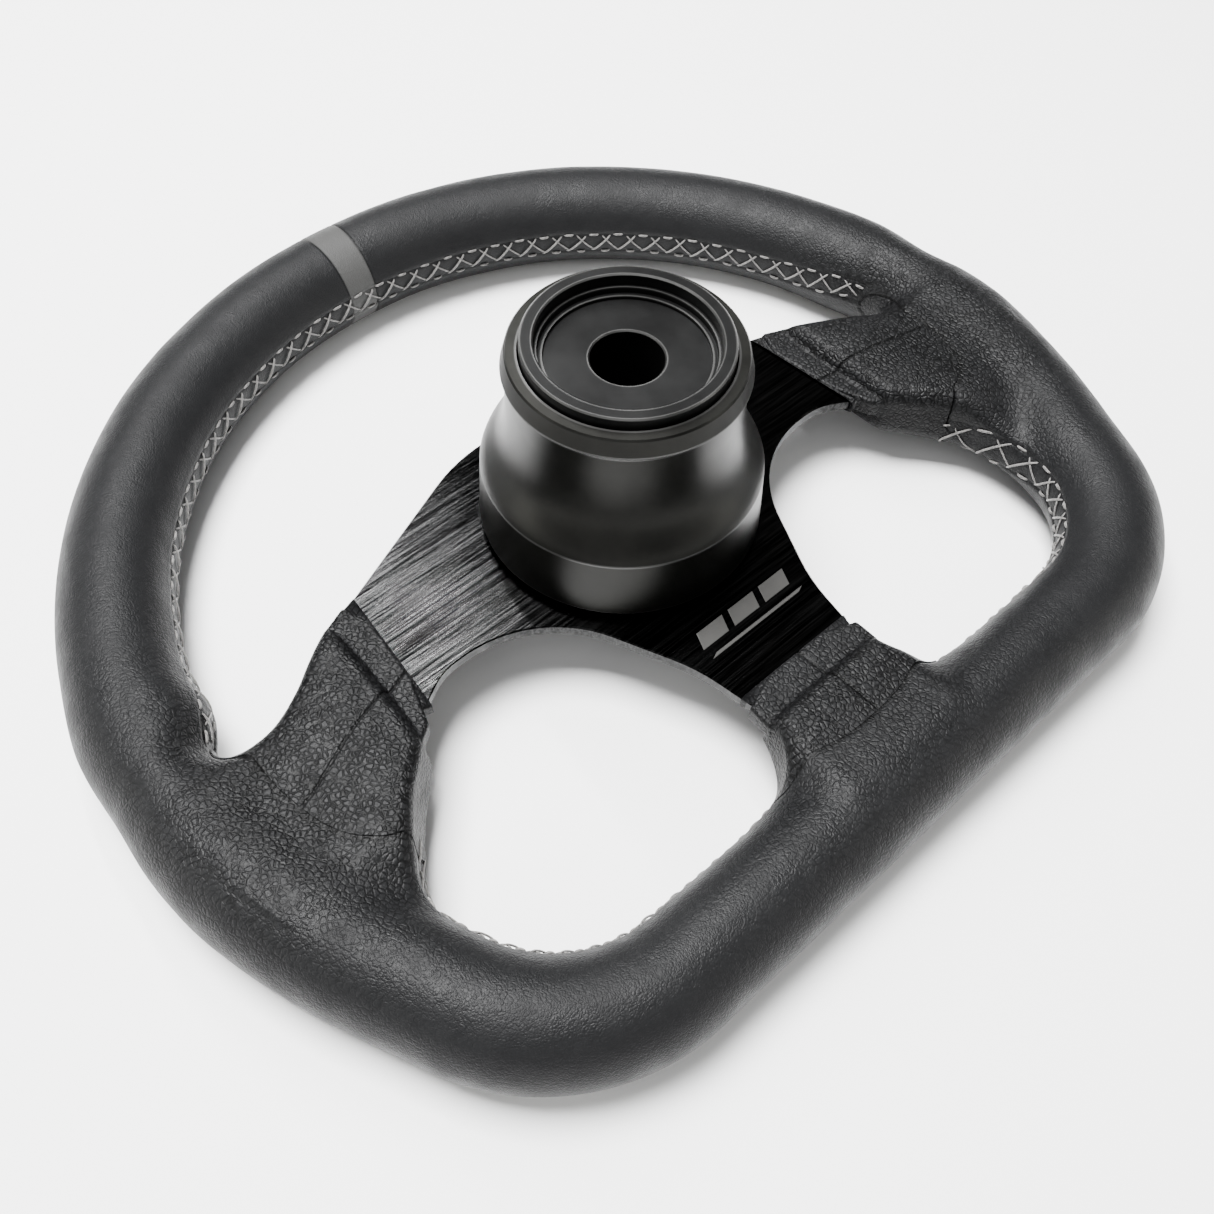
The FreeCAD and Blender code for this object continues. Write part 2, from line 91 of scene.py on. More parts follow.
def rim_path(s):
    """Centreline point and outward normal at arc length s from twelve o'clock, right side."""
    s = np.asarray(s, float)
    x, y, nx, ny = (np.zeros_like(s) for _ in range(4))
    on = s <= LEN_ARC
    a = math.pi / 2 - s / RIM_ARC_R
    nx[on], ny[on] = np.cos(a[on]), np.sin(a[on])
    x[on], y[on] = RIM_ARC_R * nx[on], RIM_ARC_R * ny[on]
    on = (s > LEN_ARC) & (s <= LEN_ARC + LEN_SIDE)
    x[on] = SIDE_START[0] + SIDE_WAY[0] * (s[on] - LEN_ARC)
    y[on] = SIDE_START[1] + SIDE_WAY[1] * (s[on] - LEN_ARC)
    nx[on], ny[on] = -SIDE_WAY[1], SIDE_WAY[0]
    on = (s > LEN_ARC + LEN_SIDE) & (s <= LEN_ARC + LEN_SIDE + LEN_CORNER)
    a = RIM_ARC_END - (s - LEN_ARC - LEN_SIDE) / RIM_CORNER_R
    nx[on], ny[on] = np.cos(a[on]), np.sin(a[on])
    x[on] = CORNER_CENTRE[0] + RIM_CORNER_R * nx[on]
    y[on] = CORNER_CENTRE[1] + RIM_CORNER_R * ny[on]
    on = s > LEN_ARC + LEN_SIDE + LEN_CORNER
    x[on] = CORNER_CENTRE[0] - (s[on] - LEN_ARC - LEN_SIDE - LEN_CORNER)
    y[on], nx[on], ny[on] = RIM_FLAT_Y, 0.0, -1.0
    return x, y, nx, ny


# ------------------------------------------------------------------ small maths
def hash3(i, j, k, seed):
    n = (i * 73856093) ^ (j * 19349663) ^ (k * 83492791) ^ (seed * 2654435761)
    n = (n ^ (n >> 13)) * 1274126177
    n = n ^ (n >> 16)
    return (n & 0xFFFFFF) / float(0xFFFFFF) * 2 - 1


def noise3(p, seed=0):
    """Smooth value noise in -1..1 at the rows of p."""
    q = np.floor(p).astype(np.int64)
    f = p - q
    f = f * f * f * (f * (f * 6 - 15) + 10)
    total = np.zeros(len(p))
    for dx in (0, 1):
        for dy in (0, 1):
            for dz in (0, 1):
                w = np.where(dx, f[:, 0], 1 - f[:, 0])
                w = w * np.where(dy, f[:, 1], 1 - f[:, 1]) * np.where(dz, f[:, 2], 1 - f[:, 2])
                total += w * hash3(q[:, 0] + dx, q[:, 1] + dy, q[:, 2] + dz, seed)
    return total


def bell(x, width):
    return np.exp(-(x / width) ** 2)


def smooth(x, low, high):
    t = np.clip((x - low) / (high - low), 0, 1)
    return t * t * (3 - 2 * t)


def superellipse(t, n):
    c, s = np.cos(t), np.sin(t)
    return np.sign(c) * np.abs(c) ** (2 / n), np.sign(s) * np.abs(s) ** (2 / n)


# ------------------------------------------------------------------ the leather's shape
# s runs from twelve o'clock to six o'clock on each side; phi is 0 outward, 90 to the column,
# 180 inward and 270 to the driver.  x is folded, so the right side stands for both.
SPOKE_S = 268.0
STRIPE_HALF = 6.2
SKIN_GRID = 0.5
RIM_BLEND = 6.5
FLAP_BLEND = 1.1
PLAN_MARGIN = 14
PAD_LEAN = 0.12
SIDE_REACH_X = 70
BOTTOM_REACH_X = 72


def rim_place(x, y):
    """Arc length s and outward offset w from the centreline, for x >= 0."""
    a = np.arctan2(y, x)
    s = RIM_ARC_R * (math.pi / 2 - a)
    w = np.hypot(x, y) - RIM_ARC_R
    along = (x - SIDE_START[0]) * SIDE_WAY[0] + (y - SIDE_START[1]) * SIDE_WAY[1]
    low = a < RIM_ARC_END
    s = np.where(low, LEN_ARC + along, s)
    w = np.where(low, -(x - SIDE_START[0]) * SIDE_WAY[1] + (y - SIDE_START[1]) * SIDE_WAY[0], w)
    corner = low & (along > LEN_SIDE)
    b = np.arctan2(y - CORNER_CENTRE[1], x - CORNER_CENTRE[0])
    s = np.where(corner, LEN_ARC + LEN_SIDE + RIM_CORNER_R * (RIM_ARC_END - b), s)
    w = np.where(corner, np.hypot(x - CORNER_CENTRE[0], y - CORNER_CENTRE[1]) - RIM_CORNER_R, w)
    flat = low & (x < CORNER_CENTRE[0]) & (y < -60)
    s = np.where(flat, HALF - x, s)
    w = np.where(flat, RIM_FLAT_Y - y, w)
    return s, w


# swellings (+) and hollows (-) left by hand: height, place along s and width, in millimetres
OUTER_RIGHT = ((1.5, 262, 17), (-1.7, 234, 10), (0.5, 212, 14))
OUTER_LEFT = ((0.9, 214, 13), (-0.9, 238, 12), (0.6, 270, 15))
INNER_RIGHT = ((0.6, 205, 12), (-1.4, 228, 8))
INNER_LEFT = ((2.2, 216, 11), (-3.2, 235, 8))
GRIP_R = 17.5
LOW_GRIP_START, LOW_GRIP_END = 330, 425


def swell(s, table):
    return sum(height * bell(s - at, width) for height, at, width in table)


def grip_radius(s, phi, side):
    """Radius of the leather at (s, phi) away from the boots; side is +1 right, -1 left."""
    a = np.radians(phi)
    low = smooth(s, LOW_GRIP_START, LOW_GRIP_END)
    r = GRIP_R - 1.6 * low + 1.2 * low * np.cos(a)
    on_right = np.asarray(side) > 0
    out = np.clip(np.cos(a), 0, 1)
    r = r + out * np.where(on_right, swell(s, OUTER_RIGHT), swell(s, OUTER_LEFT))
    inner = np.clip(-np.cos(a), 0, 1)
    return r + inner * np.where(on_right, swell(s, INNER_RIGHT), swell(s, INNER_LEFT))


def blend(a, b, k):
    """Minimum of two distances with a fillet about k wide."""
    h = np.clip(k - np.abs(a - b), 0, None) / k
    return np.minimum(a, b) - h * h * k / 4


def rounded(points, rounds):
    """Closed outline with its corners cut smooth."""
    p = np.array(points, float)
    for _ in range(rounds):
        q = np.roll(p, -1, 0)
        p = np.stack([0.75 * p + 0.25 * q, 0.25 * p + 0.75 * q], 1).reshape(-1, 2)
    return p


class Slab:
    """Rounded slab with a plan outline and a top and bottom that vary along the spoke."""

    def __init__(self, outline, axis, along, top, bottom, edge, rounds=2, crown=0.0, fall=()):
        self.axis, self.along, self.top, self.bottom = axis, along, top, bottom
        self.edge, self.crown, self.fall = edge, crown, fall
        ring = rounded(outline, rounds)
        self.low = ring.min(0) - PLAN_MARGIN
        count = np.ceil((ring.max(0) + PLAN_MARGIN - self.low) / SKIN_GRID).astype(int) + 1
        ticks = [self.low[i] + SKIN_GRID * np.arange(count[i]) for i in (0, 1)]
        gx, gy = np.meshgrid(*ticks, indexing="ij")
        p = np.stack([gx.ravel(), gy.ravel()], 1)
        best = np.full(len(p), 1e9)
        inside = np.zeros(len(p), bool)
        for a, b in zip(ring, np.roll(ring, -1, 0)):
            ab = b - a
            t = np.clip(((p - a) @ ab) / max(ab @ ab, 1e-9), 0, 1)
            best = np.minimum(best, ((p - a - t[:, None] * ab) ** 2).sum(1))
            if a[1] != b[1]:
                cross = (a[1] > p[:, 1]) != (b[1] > p[:, 1])
                inside ^= cross & (p[:, 0] < (b[0] - a[0]) * (p[:, 1] - a[1]) / (b[1] - a[1]) + a[0])
        self.plan = (np.sqrt(best) * np.where(inside, -1, 1)).reshape(count)

    def outline_distance(self, x, y):
        limit = np.array(self.plan.shape) - 1.001
        u = np.clip((x - self.low[0]) / SKIN_GRID, 0, limit[0])
        v = np.clip((y - self.low[1]) / SKIN_GRID, 0, limit[1])
        i, j = u.astype(int), v.astype(int)
        f, g = u - i, v - j
        d = self.plan
        return ((d[i, j] * (1 - f) + d[i + 1, j] * f) * (1 - g)
                + (d[i, j + 1] * (1 - f) + d[i + 1, j + 1] * f) * g)

    def distance(self, x, y, z):
        d = self.outline_distance(x, y)
        place = x * self.axis[0] + y * self.axis[1]
        top = np.interp(place, self.along, self.top) + self.crown * smooth(-d, 1.0, 15.0)
        for drop, at, reach, way, start, finish in self.fall:
            across = x * way[0] + y * way[1]
            top = top - drop * smooth(across, at, at + reach) * smooth(place, start, finish)
        bottom = np.interp(place, self.along, self.bottom)
        middle, half = (top + bottom) / 2, (top - bottom) / 2
        a = d + PAD_LEAN * (z + 6) * (self.edge > 2) + self.edge
        b = np.abs(z - middle) - half + self.edge
        return np.minimum(np.maximum(a, b), 0) + np.hypot(np.maximum(a, 0), np.maximum(b, 0)) - self.edge


SIDE_ALONG = (94, 99, 110, 122, 134, 146, 158)
SIDE_TOP = (4.6, 5.6, 5.5, 4.6, 3.6, 3.4, 3.4)
SIDE_BOTTOM = (-11.5, -13.5, -15.5, -17.5, -19.5, -21.0, -21.0)
SIDE_FALL = ((9.0, 42.0, 30.0, (0, -1), 100, 112), (9.0, -3.0, 14.0, (0, 1), 118, 138))
FLAP = dict(along=(0, 1), top=(1.35, 1.35), bottom=(-5.35, -5.35), edge=1.25, rounds=1)


def side_pad(outline, edge):
    return Slab(outline, (1, 0), SIDE_ALONG, SIDE_TOP, SIDE_BOTTOM, edge, crown=0.9, fall=SIDE_FALL)


RIGHT_PAD = side_pad(edge=4.6, outline=[
    (93.6, 21.4), (99, 19.6), (105, 17.0), (112, 13.2), (122, 8.6), (130, 6.4), (137, 6.6), (143.4, 8.6),
    (148, 13), (152, 24), (160, 24), (162, -30), (158, -86), (124, -86), (119.5, -70), (119.0, -60),
    (117, -52.3), (112.6, -44.6), (107.5, -39.0), (102.5, -34), (98.3, -29.6), (95.4, -26.2)])
LEFT_PAD = side_pad(edge=3.6, outline=[
    (94.4, 22.0), (101, 19.0), (110, 13), (117.4, 7.8), (122.7, 5.2), (128.5, 4.0), (134, 4.8), (141, 6.8),
    (147, 11), (151, 24), (160, 24), (162, -30), (158, -86), (131, -86), (127, -70), (123, -58),
    (115.8, -48.0), (109.4, -39.8), (102, -33.4), (96.4, -27.5)])
SIDE_FLAP = Slab([(84.5, 25.7), (104, 18), (106, -33), (89.5, -20.9)], (1, 0), **FLAP)
BOTTOM_HALF = [(22.4, -85.0), (22.8, -88), (24.3, -92.5), (27.2, -97.6), (31, -101.8), (36, -104.8),
               (42, -106.6), (48, -109), (48, -120)]
BOTTOM_PAD = Slab(
    BOTTOM_HALF + [(-x, y) for x, y in BOTTOM_HALF[::-1]], (0, -1), (84, 88, 95, 104, 112, 120),
    (3.6, 4.8, 4.6, 3.9, 4.2, 4.2), (-10.5, -12, -14, -17, -20, -20), 4.0, crown=0.7,
    fall=((9.0, 20.0, 18.0, (1, 0), 92, 102),))
BOTTOM_FLAP = Slab([(22.4, -75.3), (23.2, -92), (-23.2, -92), (-22.4, -75.3)], (0, -1), **FLAP)


def leather_depth(p, side):
    """Signed distance of points from the outer face of the leather, with x folded."""
    x, y = np.abs(p[:, 0]), p[:, 1]
    z = p[:, 2] - PLATE_TOP
    s, w = rim_place(x, y)
    h = p[:, 2] - RIM_Z
    phi = np.degrees(np.arctan2(h, w)) % 360
    f = np.hypot(w, h) - grip_radius(s, phi, side)
    pad = RIGHT_PAD if side > 0 else LEFT_PAD
    side_boot = x > SIDE_REACH_X, SIDE_FLAP, pad
    bottom_boot = x < BOTTOM_REACH_X, BOTTOM_FLAP, BOTTOM_PAD
    for near, flap, spoke in (side_boot, bottom_boot):
        if near.any():
            q = x[near], y[near], z[near]
            boot_face = blend(flap.distance(*q), spoke.distance(*q), FLAP_BLEND)
            f[near] = blend(f[near], boot_face, RIM_BLEND)
    return f


def leather_slope(p, side, step=0.15):
    """Gradient of leather_depth."""
    def change(axis):
        return leather_depth(p + step * axis, side) - leather_depth(p - step * axis, side)

    return np.stack([change(axis) / (2 * step) for axis in np.eye(3)], 1)


def settle(p, side, rounds=8):
    """Move points onto the leather's face."""
    for _ in range(rounds):
        slope = leather_slope(p, side)
        size = np.maximum((slope ** 2).sum(1), 0.05)
        step = np.clip(leather_depth(p, side) / size, -2.5, 2.5)
        p = p - slope * step[:, None]
    return p


class Loop:
    """Edge of a boot on the grip: an oval in (s, phi)."""

    def __init__(self, s, half_s, lift_top, lift_low, power, phi=180.0):
        self.s, self.half_s, self.phi, self.power = s, half_s, phi, power
        self.lift_top, self.lift_low = lift_top, lift_low

    def at(self, t):
        """t 0 is the middle of the column side, then toward smaller s."""
        a, b = superellipse(t, self.power)
        return self.s - self.half_s * b, self.phi - np.where(a > 0, self.lift_top, self.lift_low) * a

    def flat(self, t):
        s, phi = self.at(t)
        return np.column_stack([s, np.radians(phi) * 19])

    def level(self, s, phi):
        """Below 1 inside the oval."""
        d = self.phi - phi
        a = d / np.where(d > 0, self.lift_top, self.lift_low)
        b = (s - self.s) / self.half_s
        return (np.abs(a) ** self.power + np.abs(b) ** self.power) ** (1 / self.power)


RIGHT_LOOP = Loop(266.0, 40.0, 34.0, 38.0, 2.6)
LEFT_LOOP = Loop(271.5, 40.0, 37.0, 38.0, 3.0)
BOTTOM_LOOP = Loop(HALF, 36.0, 49.0, 52.0, 2.3)


def side_loop(side):
    return RIGHT_LOOP if side > 0 else LEFT_LOOP


def seam_phi(s):
    """Where the stitched seam runs on the inner side of the grip."""
    near = bell(s - 226, 24)
    after = smooth(s, 306, 345) * (1 - smooth(s, 395, 430))
    return 182 - 16 * near - 13 * after


REACH_LIMIT = 38.0
REACH_ROUNDS = 38
SIDE_TOUCH = (190, 350)
BOTTOM_TOUCH = 62


def grip_point(s, phi, side, lift=0.0):
    """Point of the leather's face straight out from the centreline at (s, phi)."""
    s, phi = np.broadcast_arrays(np.asarray(s, float), np.asarray(phi, float))
    shape = s.shape
    s, phi = s.ravel(), phi.ravel()
    folded = np.where(s > HALF, 2 * HALF - s, s)
    turn = np.where(s > HALF, -1.0, 1.0)
    x, y, nx, ny = rim_path(folded)
    r = grip_radius(folded, phi, side)
    a = np.radians(phi)
    origin = np.stack([x, y, RIM_Z + 0 * x], 1)
    way = np.stack([nx * np.cos(a), ny * np.cos(a), np.sin(a)], 1)
    touched = (folded > SIDE_TOUCH[0]) & (folded < SIDE_TOUCH[1])
    touched |= folded > HALF - BOTTOM_TOUCH
    touched &= (phi > 70) & (phi < 290)
    if touched.any():
        o, d, q = origin[touched], way[touched], r[touched]
        for _ in range(REACH_ROUNDS):
            q = np.clip(q - 0.9 * leather_depth(o + d * q[:, None], side), 10, REACH_LIMIT)
        r = r.copy()
        r[touched] = q
    p = origin + way * (r + np.broadcast_to(lift, shape).ravel())[:, None]
    p[:, 0] *= turn * side
    return p.reshape(shape + (3,))


# ------------------------------------------------------------------ meshes
def grid_normals(P, wrap_u):
    if wrap_u:
        du = np.roll(P, -1, 0) - np.roll(P, 1, 0)
    else:
        du = np.gradient(P, axis=0)
    dv = np.gradient(P, axis=1)
    n = np.cross(du, dv)
    return n / np.maximum(np.linalg.norm(n, axis=-1, keepdims=True), 1e-9)


def grid_mesh(name, P, wrap_u=False, wrap_v=False, flip=False, keep=None, attrs=None):
    """Quad mesh from an array of points (rows, columns, 3), in millimetres."""
    rows, cols = P.shape[:2]
    index = np.arange(rows * cols).reshape(rows, cols)
    if wrap_u:
        index = np.vstack([index, index[:1]])
    if wrap_v:
        index = np.hstack([index, index[:, :1]])
    quads = np.stack([index[:-1, :-1], index[1:, :-1], index[1:, 1:], index[:-1, 1:]], -1)
    quads = quads.reshape(-1, 4)
    if flip:
        quads = quads[:, ::-1]
    points, attrs = P.reshape(-1, 3), {key: np.ravel(v) for key, v in (attrs or {}).items()}
    if keep is not None:
        quads = quads[keep.ravel()[quads].all(1)]
        used, quads = np.unique(quads, return_inverse=True)
        quads = quads.reshape(-1, 4)
        points, attrs = points[used], {key: v[used] for key, v in attrs.items()}
    return raw_mesh(name, points, quads, attrs)


def raw_mesh(name, points, quads, attrs=None):
    mesh = bpy.data.meshes.new(name)
    mesh.vertices.add(len(points))
    mesh.vertices.foreach_set("co", (np.asarray(points) * MM).astype(np.float32).ravel())
    size = quads.shape[1]
    mesh.loops.add(len(quads) * size)
    mesh.loops.foreach_set("vertex_index", quads.astype(np.int32).ravel())
    mesh.polygons.add(len(quads))
    mesh.polygons.foreach_set("loop_start", np.arange(0, len(quads) * size, size, dtype=np.int32))
    mesh.update(calc_edges=True)
    mesh.validate()
    mesh.polygons.foreach_set("use_smooth", np.ones(len(mesh.polygons), bool))
    for key, values in (attrs or {}).items():
        layer = mesh.attributes.new(key, "FLOAT", "POINT")
        layer.data.foreach_set("value", np.asarray(values, np.float32).ravel())
    obj = bpy.data.objects.new(name, mesh)
    bpy.context.scene.collection.objects.link(obj)
    return obj


def finish_piece(obj, body, material, slot, *replaced):
    obj.data.materials.append(material)
    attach(obj, body)
    if replaced:
        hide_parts(*replaced)
    return obj


# ------------------------------------------------------------------ materials
class Nodes:
    """Short-hand for building a node tree."""

    def __init__(self, name):
        self.material = bpy.data.materials.new(name)
        self.material.use_nodes = True
        self.tree = self.material.node_tree
        self.tree.nodes.clear()
        self.out = self.tree.nodes.new("ShaderNodeOutputMaterial")
        self.bsdf = self.tree.nodes.new("ShaderNodeBsdfPrincipled")
        self.link(self.bsdf.outputs[0], self.out.inputs[0])
        self.coords = self.tree.nodes.new("ShaderNodeTexCoord").outputs["Object"]

    def link(self, a, b):
        self.tree.links.new(a, b)

    def put(self, socket, value):
        if isinstance(value, bpy.types.NodeSocket):
            self.link(value, socket)
        else:
            socket.default_value = value

    def set(self, **values):
        for key, value in values.items():
            self.put(self.bsdf.inputs[key.replace("_", " ")], value)

    def mapping(self, scale, location=(0, 0, 0)):
        n = self.tree.nodes.new("ShaderNodeMapping")
        self.link(self.coords, n.inputs["Vector"])
        n.inputs["Scale"].default_value = scale
        n.inputs["Location"].default_value = location
        return n.outputs[0]

    def noise(self, scale, detail=4.0, rough=0.5, vector=None):
        n = self.tree.nodes.new("ShaderNodeTexNoise")
        self.link(vector or self.coords, n.inputs["Vector"])
        n.inputs["Scale"].default_value = scale
        n.inputs["Detail"].default_value = detail
        n.inputs["Roughness"].default_value = rough
        return n.outputs["Fac"]

    def cell_edges(self, scale, vector):
        n = self.tree.nodes.new("ShaderNodeTexVoronoi")
        n.feature = "DISTANCE_TO_EDGE"
        self.link(vector, n.inputs["Vector"])
        n.inputs["Scale"].default_value = scale
        return n.outputs["Distance"]

    def math(self, op, a, b=0.0, c=0.0):
        n = self.tree.nodes.new("ShaderNodeMath")
        n.operation = op
        for socket, value in zip(n.inputs, (a, b, c)):
            self.put(socket, value)
        return n.outputs[0]

    def range(self, value, a, b, c=0.0, d=1.0):
        n = self.tree.nodes.new("ShaderNodeMapRange")
        n.interpolation_type = "SMOOTHSTEP"
        for key, v in zip(("Value", "From Min", "From Max", "To Min", "To Max"), (value, a, b, c, d)):
            self.put(n.inputs[key], v)
        return n.outputs["Result"]

    def mix(self, factor, a, b):
        n = self.tree.nodes.new("ShaderNodeMix")
        n.data_type = "RGBA"
        self.put(n.inputs["Factor"], factor)
        self.put(n.inputs[6], a)
        self.put(n.inputs[7], b)
        return n.outputs[2]

    def attribute(self, name):
        n = self.tree.nodes.new("ShaderNodeAttribute")
        n.attribute_name = name
        return n.outputs["Fac"]

    def bump(self, height, distance, strength=1.0):
        n = self.tree.nodes.new("ShaderNodeBump")
        n.inputs["Strength"].default_value = strength
        n.inputs["Distance"].default_value = distance
        self.link(height, n.inputs["Height"])
        return n.outputs[0]

    def separate(self, vector):
        n = self.tree.nodes.new("ShaderNodeSeparateXYZ")
        self.link(vector, n.inputs[0])
        return n.outputs


def leather(name, dark, light, roughness):
    """Pebbled leather; the crease attribute says how coarse and deep the grain is, and how dark the painted
    shade in the grain's creases is.
    """
    n = Nodes(name)
    crease = n.attribute("crease")
    bend = n.tree.nodes.new("ShaderNodeTexNoise")
    bend.inputs["Scale"].default_value = 260
    n.link(n.coords, bend.inputs["Vector"])
    warp = n.tree.nodes.new("ShaderNodeVectorMath")
    warp.operation = "MULTIPLY_ADD"
    n.link(bend.outputs["Color"], warp.inputs[0])
    warp.inputs[1].default_value = (0.0011, 0.0011, 0.0011)
    n.link(n.coords, warp.inputs[2])
    warped = warp.outputs[0]
    cells = n.range(n.cell_edges(600, warped), 0.0, 0.26)
    small = n.range(n.cell_edges(1350, warped), 0.0, 0.30)
    deep = n.range(n.noise(200, detail=2, rough=0.5), 0.36, 0.60)
    soft = n.noise(300, detail=2, rough=0.5)
    pores = n.noise(3200, detail=2, rough=0.6)
    coarse = n.math("MULTIPLY", n.math("SUBTRACT", cells, 1.0), n.math("MULTIPLY_ADD", deep, 0.3, 0.7))
    coarse = n.math("MULTIPLY", coarse, n.math("MULTIPLY_ADD", crease, 0.92, 0.08))
    fine = n.math("MULTIPLY", small, n.math("MULTIPLY_ADD", crease, -0.12, 0.26))
    height = n.math("ADD", coarse, fine)
    height = n.math("MULTIPLY_ADD", soft, n.math("MULTIPLY_ADD", crease, 0.9, 0.5), height)
    height = n.math("MULTIPLY_ADD", pores, 0.04, height)
    # tone: a little random variation, then painted shade in the grain's creases where coarse dips; the dark
    # colour shows mostly in this painted crease shade
    tone = n.math("MULTIPLY_ADD", n.noise(30, detail=2), 0.2, 0.8)
    tone = n.math("MULTIPLY_ADD", coarse, 0.9, tone)
    colour = n.mix(n.range(tone, 0.05, 0.95), dark, light)
    # The seam attribute paints the seam lines near black: painted shade in the seam grooves.
    colour = n.mix(n.attribute("seam"), colour, (0.0008, 0.0008, 0.0008, 1))
    shine = n.range(n.noise(110, detail=4), 0.3, 0.7, roughness - 0.05, roughness + 0.06)
    n.set(Base_Color=colour, Roughness=shine, Normal=n.bump(height, 0.00019, 1.0))
    n.set(Specular_IOR_Level=0.10)
    return n.material


def thread_material():
    n = Nodes("thread")
    ply = n.attribute("ply")
    fuzz = n.noise(5200, detail=3)
    shade = n.range(n.noise(900, detail=3), 0.3, 0.7)
    colour = n.mix(shade, (0.075, 0.0715, 0.069, 1), (0.135, 0.130, 0.124, 1))
    # The grooves between the plies are painted darker: painted shade where the bump dips.
    colour = n.mix(n.range(ply, 0.0, 0.35), (0.028, 0.027, 0.026, 1), colour)
    height = n.math("MULTIPLY_ADD", fuzz, 0.3, ply)
    n.set(Base_Color=colour, Roughness=0.62, Normal=n.bump(height, 0.00012, 0.8))
    n.set(Sheen_Weight=0.3, Specular_IOR_Level=0.35)
    return n.material


def brushed_black():
    """Black aluminium brushed along X: long fine lines of differing brightness."""
    n = Nodes("brushed_black")
    fine = n.noise(1.0, detail=3, rough=0.7, vector=n.mapping((55, 3600, 900)))
    line = n.noise(1.0, detail=2, rough=0.6, vector=n.mapping((28, 1900, 500), location=(3, 1, 0)))
    broad = n.noise(1.0, detail=2, rough=0.5, vector=n.mapping((10, 240, 60), location=(7, 0, 0)))
    mixed = n.math("MULTIPLY_ADD", line, 0.55, n.math("MULTIPLY", fine, 0.55))
    colour = n.mix(n.range(mixed, 0.47, 0.68), (0.0006, 0.0006, 0.00062, 1), (0.022, 0.0221, 0.0223, 1))
    scratch = n.math("MULTIPLY", n.range(fine, 0.58, 0.68), n.range(broad, 0.35, 0.65))
    colour = n.mix(n.math("MULTIPLY", scratch, 0.6), colour, (0.06, 0.06, 0.06, 1))
    rough = n.range(line, 0.42, 0.60, 0.12, 0.25)
    height = n.math("MULTIPLY_ADD", line, 0.8, fine)
    grain = n.tree.nodes.new("ShaderNodeCombineXYZ")
    grain.inputs[1].default_value = 1.0
    n.link(grain.outputs[0], n.bsdf.inputs["Tangent"])
    n.set(Base_Color=colour, Metallic=1.0, Roughness=rough, Anisotropic=0.8)
    n.set(Normal=n.bump(height, 0.00004, 0.8))
    return n.material


def ring_mask(n, radius, z, wear_and_highlight_rings, reach):
    """1 on each (radius, height) ring in millimetres, fading out over reach."""
    total = None
    for r0, z0 in wear_and_highlight_rings:
        dr = n.math("SUBTRACT", radius, r0 * MM)
        dz = n.math("SUBTRACT", z, (z0 + PLATE_TOP) * MM)
        far = n.math("SQRT", n.math("ADD", n.math("MULTIPLY", dr, dr), n.math("MULTIPLY", dz, dz)))
        here = n.range(far, reach * 0.35 * MM, reach * MM, 1.0, 0.0)
        total = here if total is None else n.math("MAXIMUM", total, here)
    return total


def anodised(name, tone, roughness, wear_and_highlight_rings=(), edge=0.22, worn=0.10):
    """Satin anodising on a turned part, paler along its (radius, height) edges: a painted highlight along the
    edges, partly edge wear.
    """
    n = Nodes(name)
    cloud = n.noise(38, detail=5, rough=0.6)
    fleck = n.noise(1100, detail=2, rough=0.5)
    x, y, z = n.separate(n.coords)
    radius = n.math("SQRT", n.math("ADD", n.math("MULTIPLY", x, x), n.math("MULTIPLY", y, y)))
    ring = n.tree.nodes.new("ShaderNodeCombineXYZ")
    n.link(n.math("MULTIPLY", radius, 4200.0), ring.inputs[0])
    n.link(n.math("MULTIPLY", z, 4200.0), ring.inputs[1])
    turning = n.noise(1.0, detail=3, rough=0.6, vector=ring.outputs[0])
    dark = tuple(c * 0.8 for c in tone) + (1,)
    light = tuple(c * 1.2 for c in tone) + (1,)
    colour = n.mix(n.range(cloud, 0.3, 0.7), dark, light)
    speck = n.range(n.noise(520, detail=4, rough=0.75), 0.70, 0.78)
    colour = n.mix(n.math("MULTIPLY", speck, worn), colour, (0.30, 0.30, 0.29, 1))
    # The rings paint a highlight along the turned edges, partly edge wear; edge is its colour.
    if wear_and_highlight_rings:
        edge_wear_and_highlight = n.math("MULTIPLY", ring_mask(n, radius, z, wear_and_highlight_rings, 0.62), n.range(cloud, 0.2, 0.6, 0.6, 1.0))
        colour = n.mix(edge_wear_and_highlight, colour, (edge, edge, edge * 0.98, 1))
    rough = n.range(cloud, 0.25, 0.75, roughness - 0.04, roughness + 0.05)
    height = n.math("MULTIPLY_ADD", fleck, 0.5, turning)
    n.set(Base_Color=colour, Metallic=0.9, Roughness=rough, Normal=n.bump(height, 0.000018, 0.5))
    return n.material


def steel(name, tone, roughness):
    n = Nodes(name)
    colour = n.mix(n.noise(200, detail=4), tuple(c * 0.8 for c in tone) + (1,), tuple(tone) + (1,))
    n.set(Base_Color=colour, Metallic=1.0, Roughness=roughness)
    n.set(Normal=n.bump(n.noise(2500, detail=3), 0.00001, 0.5))
    return n.material


def plastic(name, tone):
    n = Nodes(name)
    colour = n.mix(n.noise(60, detail=3), tone, tuple(c * 1.3 for c in tone[:3]) + (1,))
    n.set(Base_Color=colour, Roughness=n.range(n.noise(150, detail=5), 0.3, 0.7, 0.16, 0.26))
    n.set(Normal=n.bump(n.noise(1400, detail=2), 0.00001, 0.4), Coat_Weight=0.3)
    return n.material


BLACK_LEATHER = leather("leather_black", (0.0012, 0.0012, 0.0013, 1), (0.0064, 0.0065, 0.0069, 1), 0.45)
GREY_LEATHER = leather("leather_grey", (0.020, 0.020, 0.0197, 1), (0.038, 0.038, 0.0373, 1), 0.52)
THREAD = thread_material()
BRUSHED = brushed_black()
ANODISED = anodised("black_anodised", (0.010, 0.010, 0.0094), 0.30)
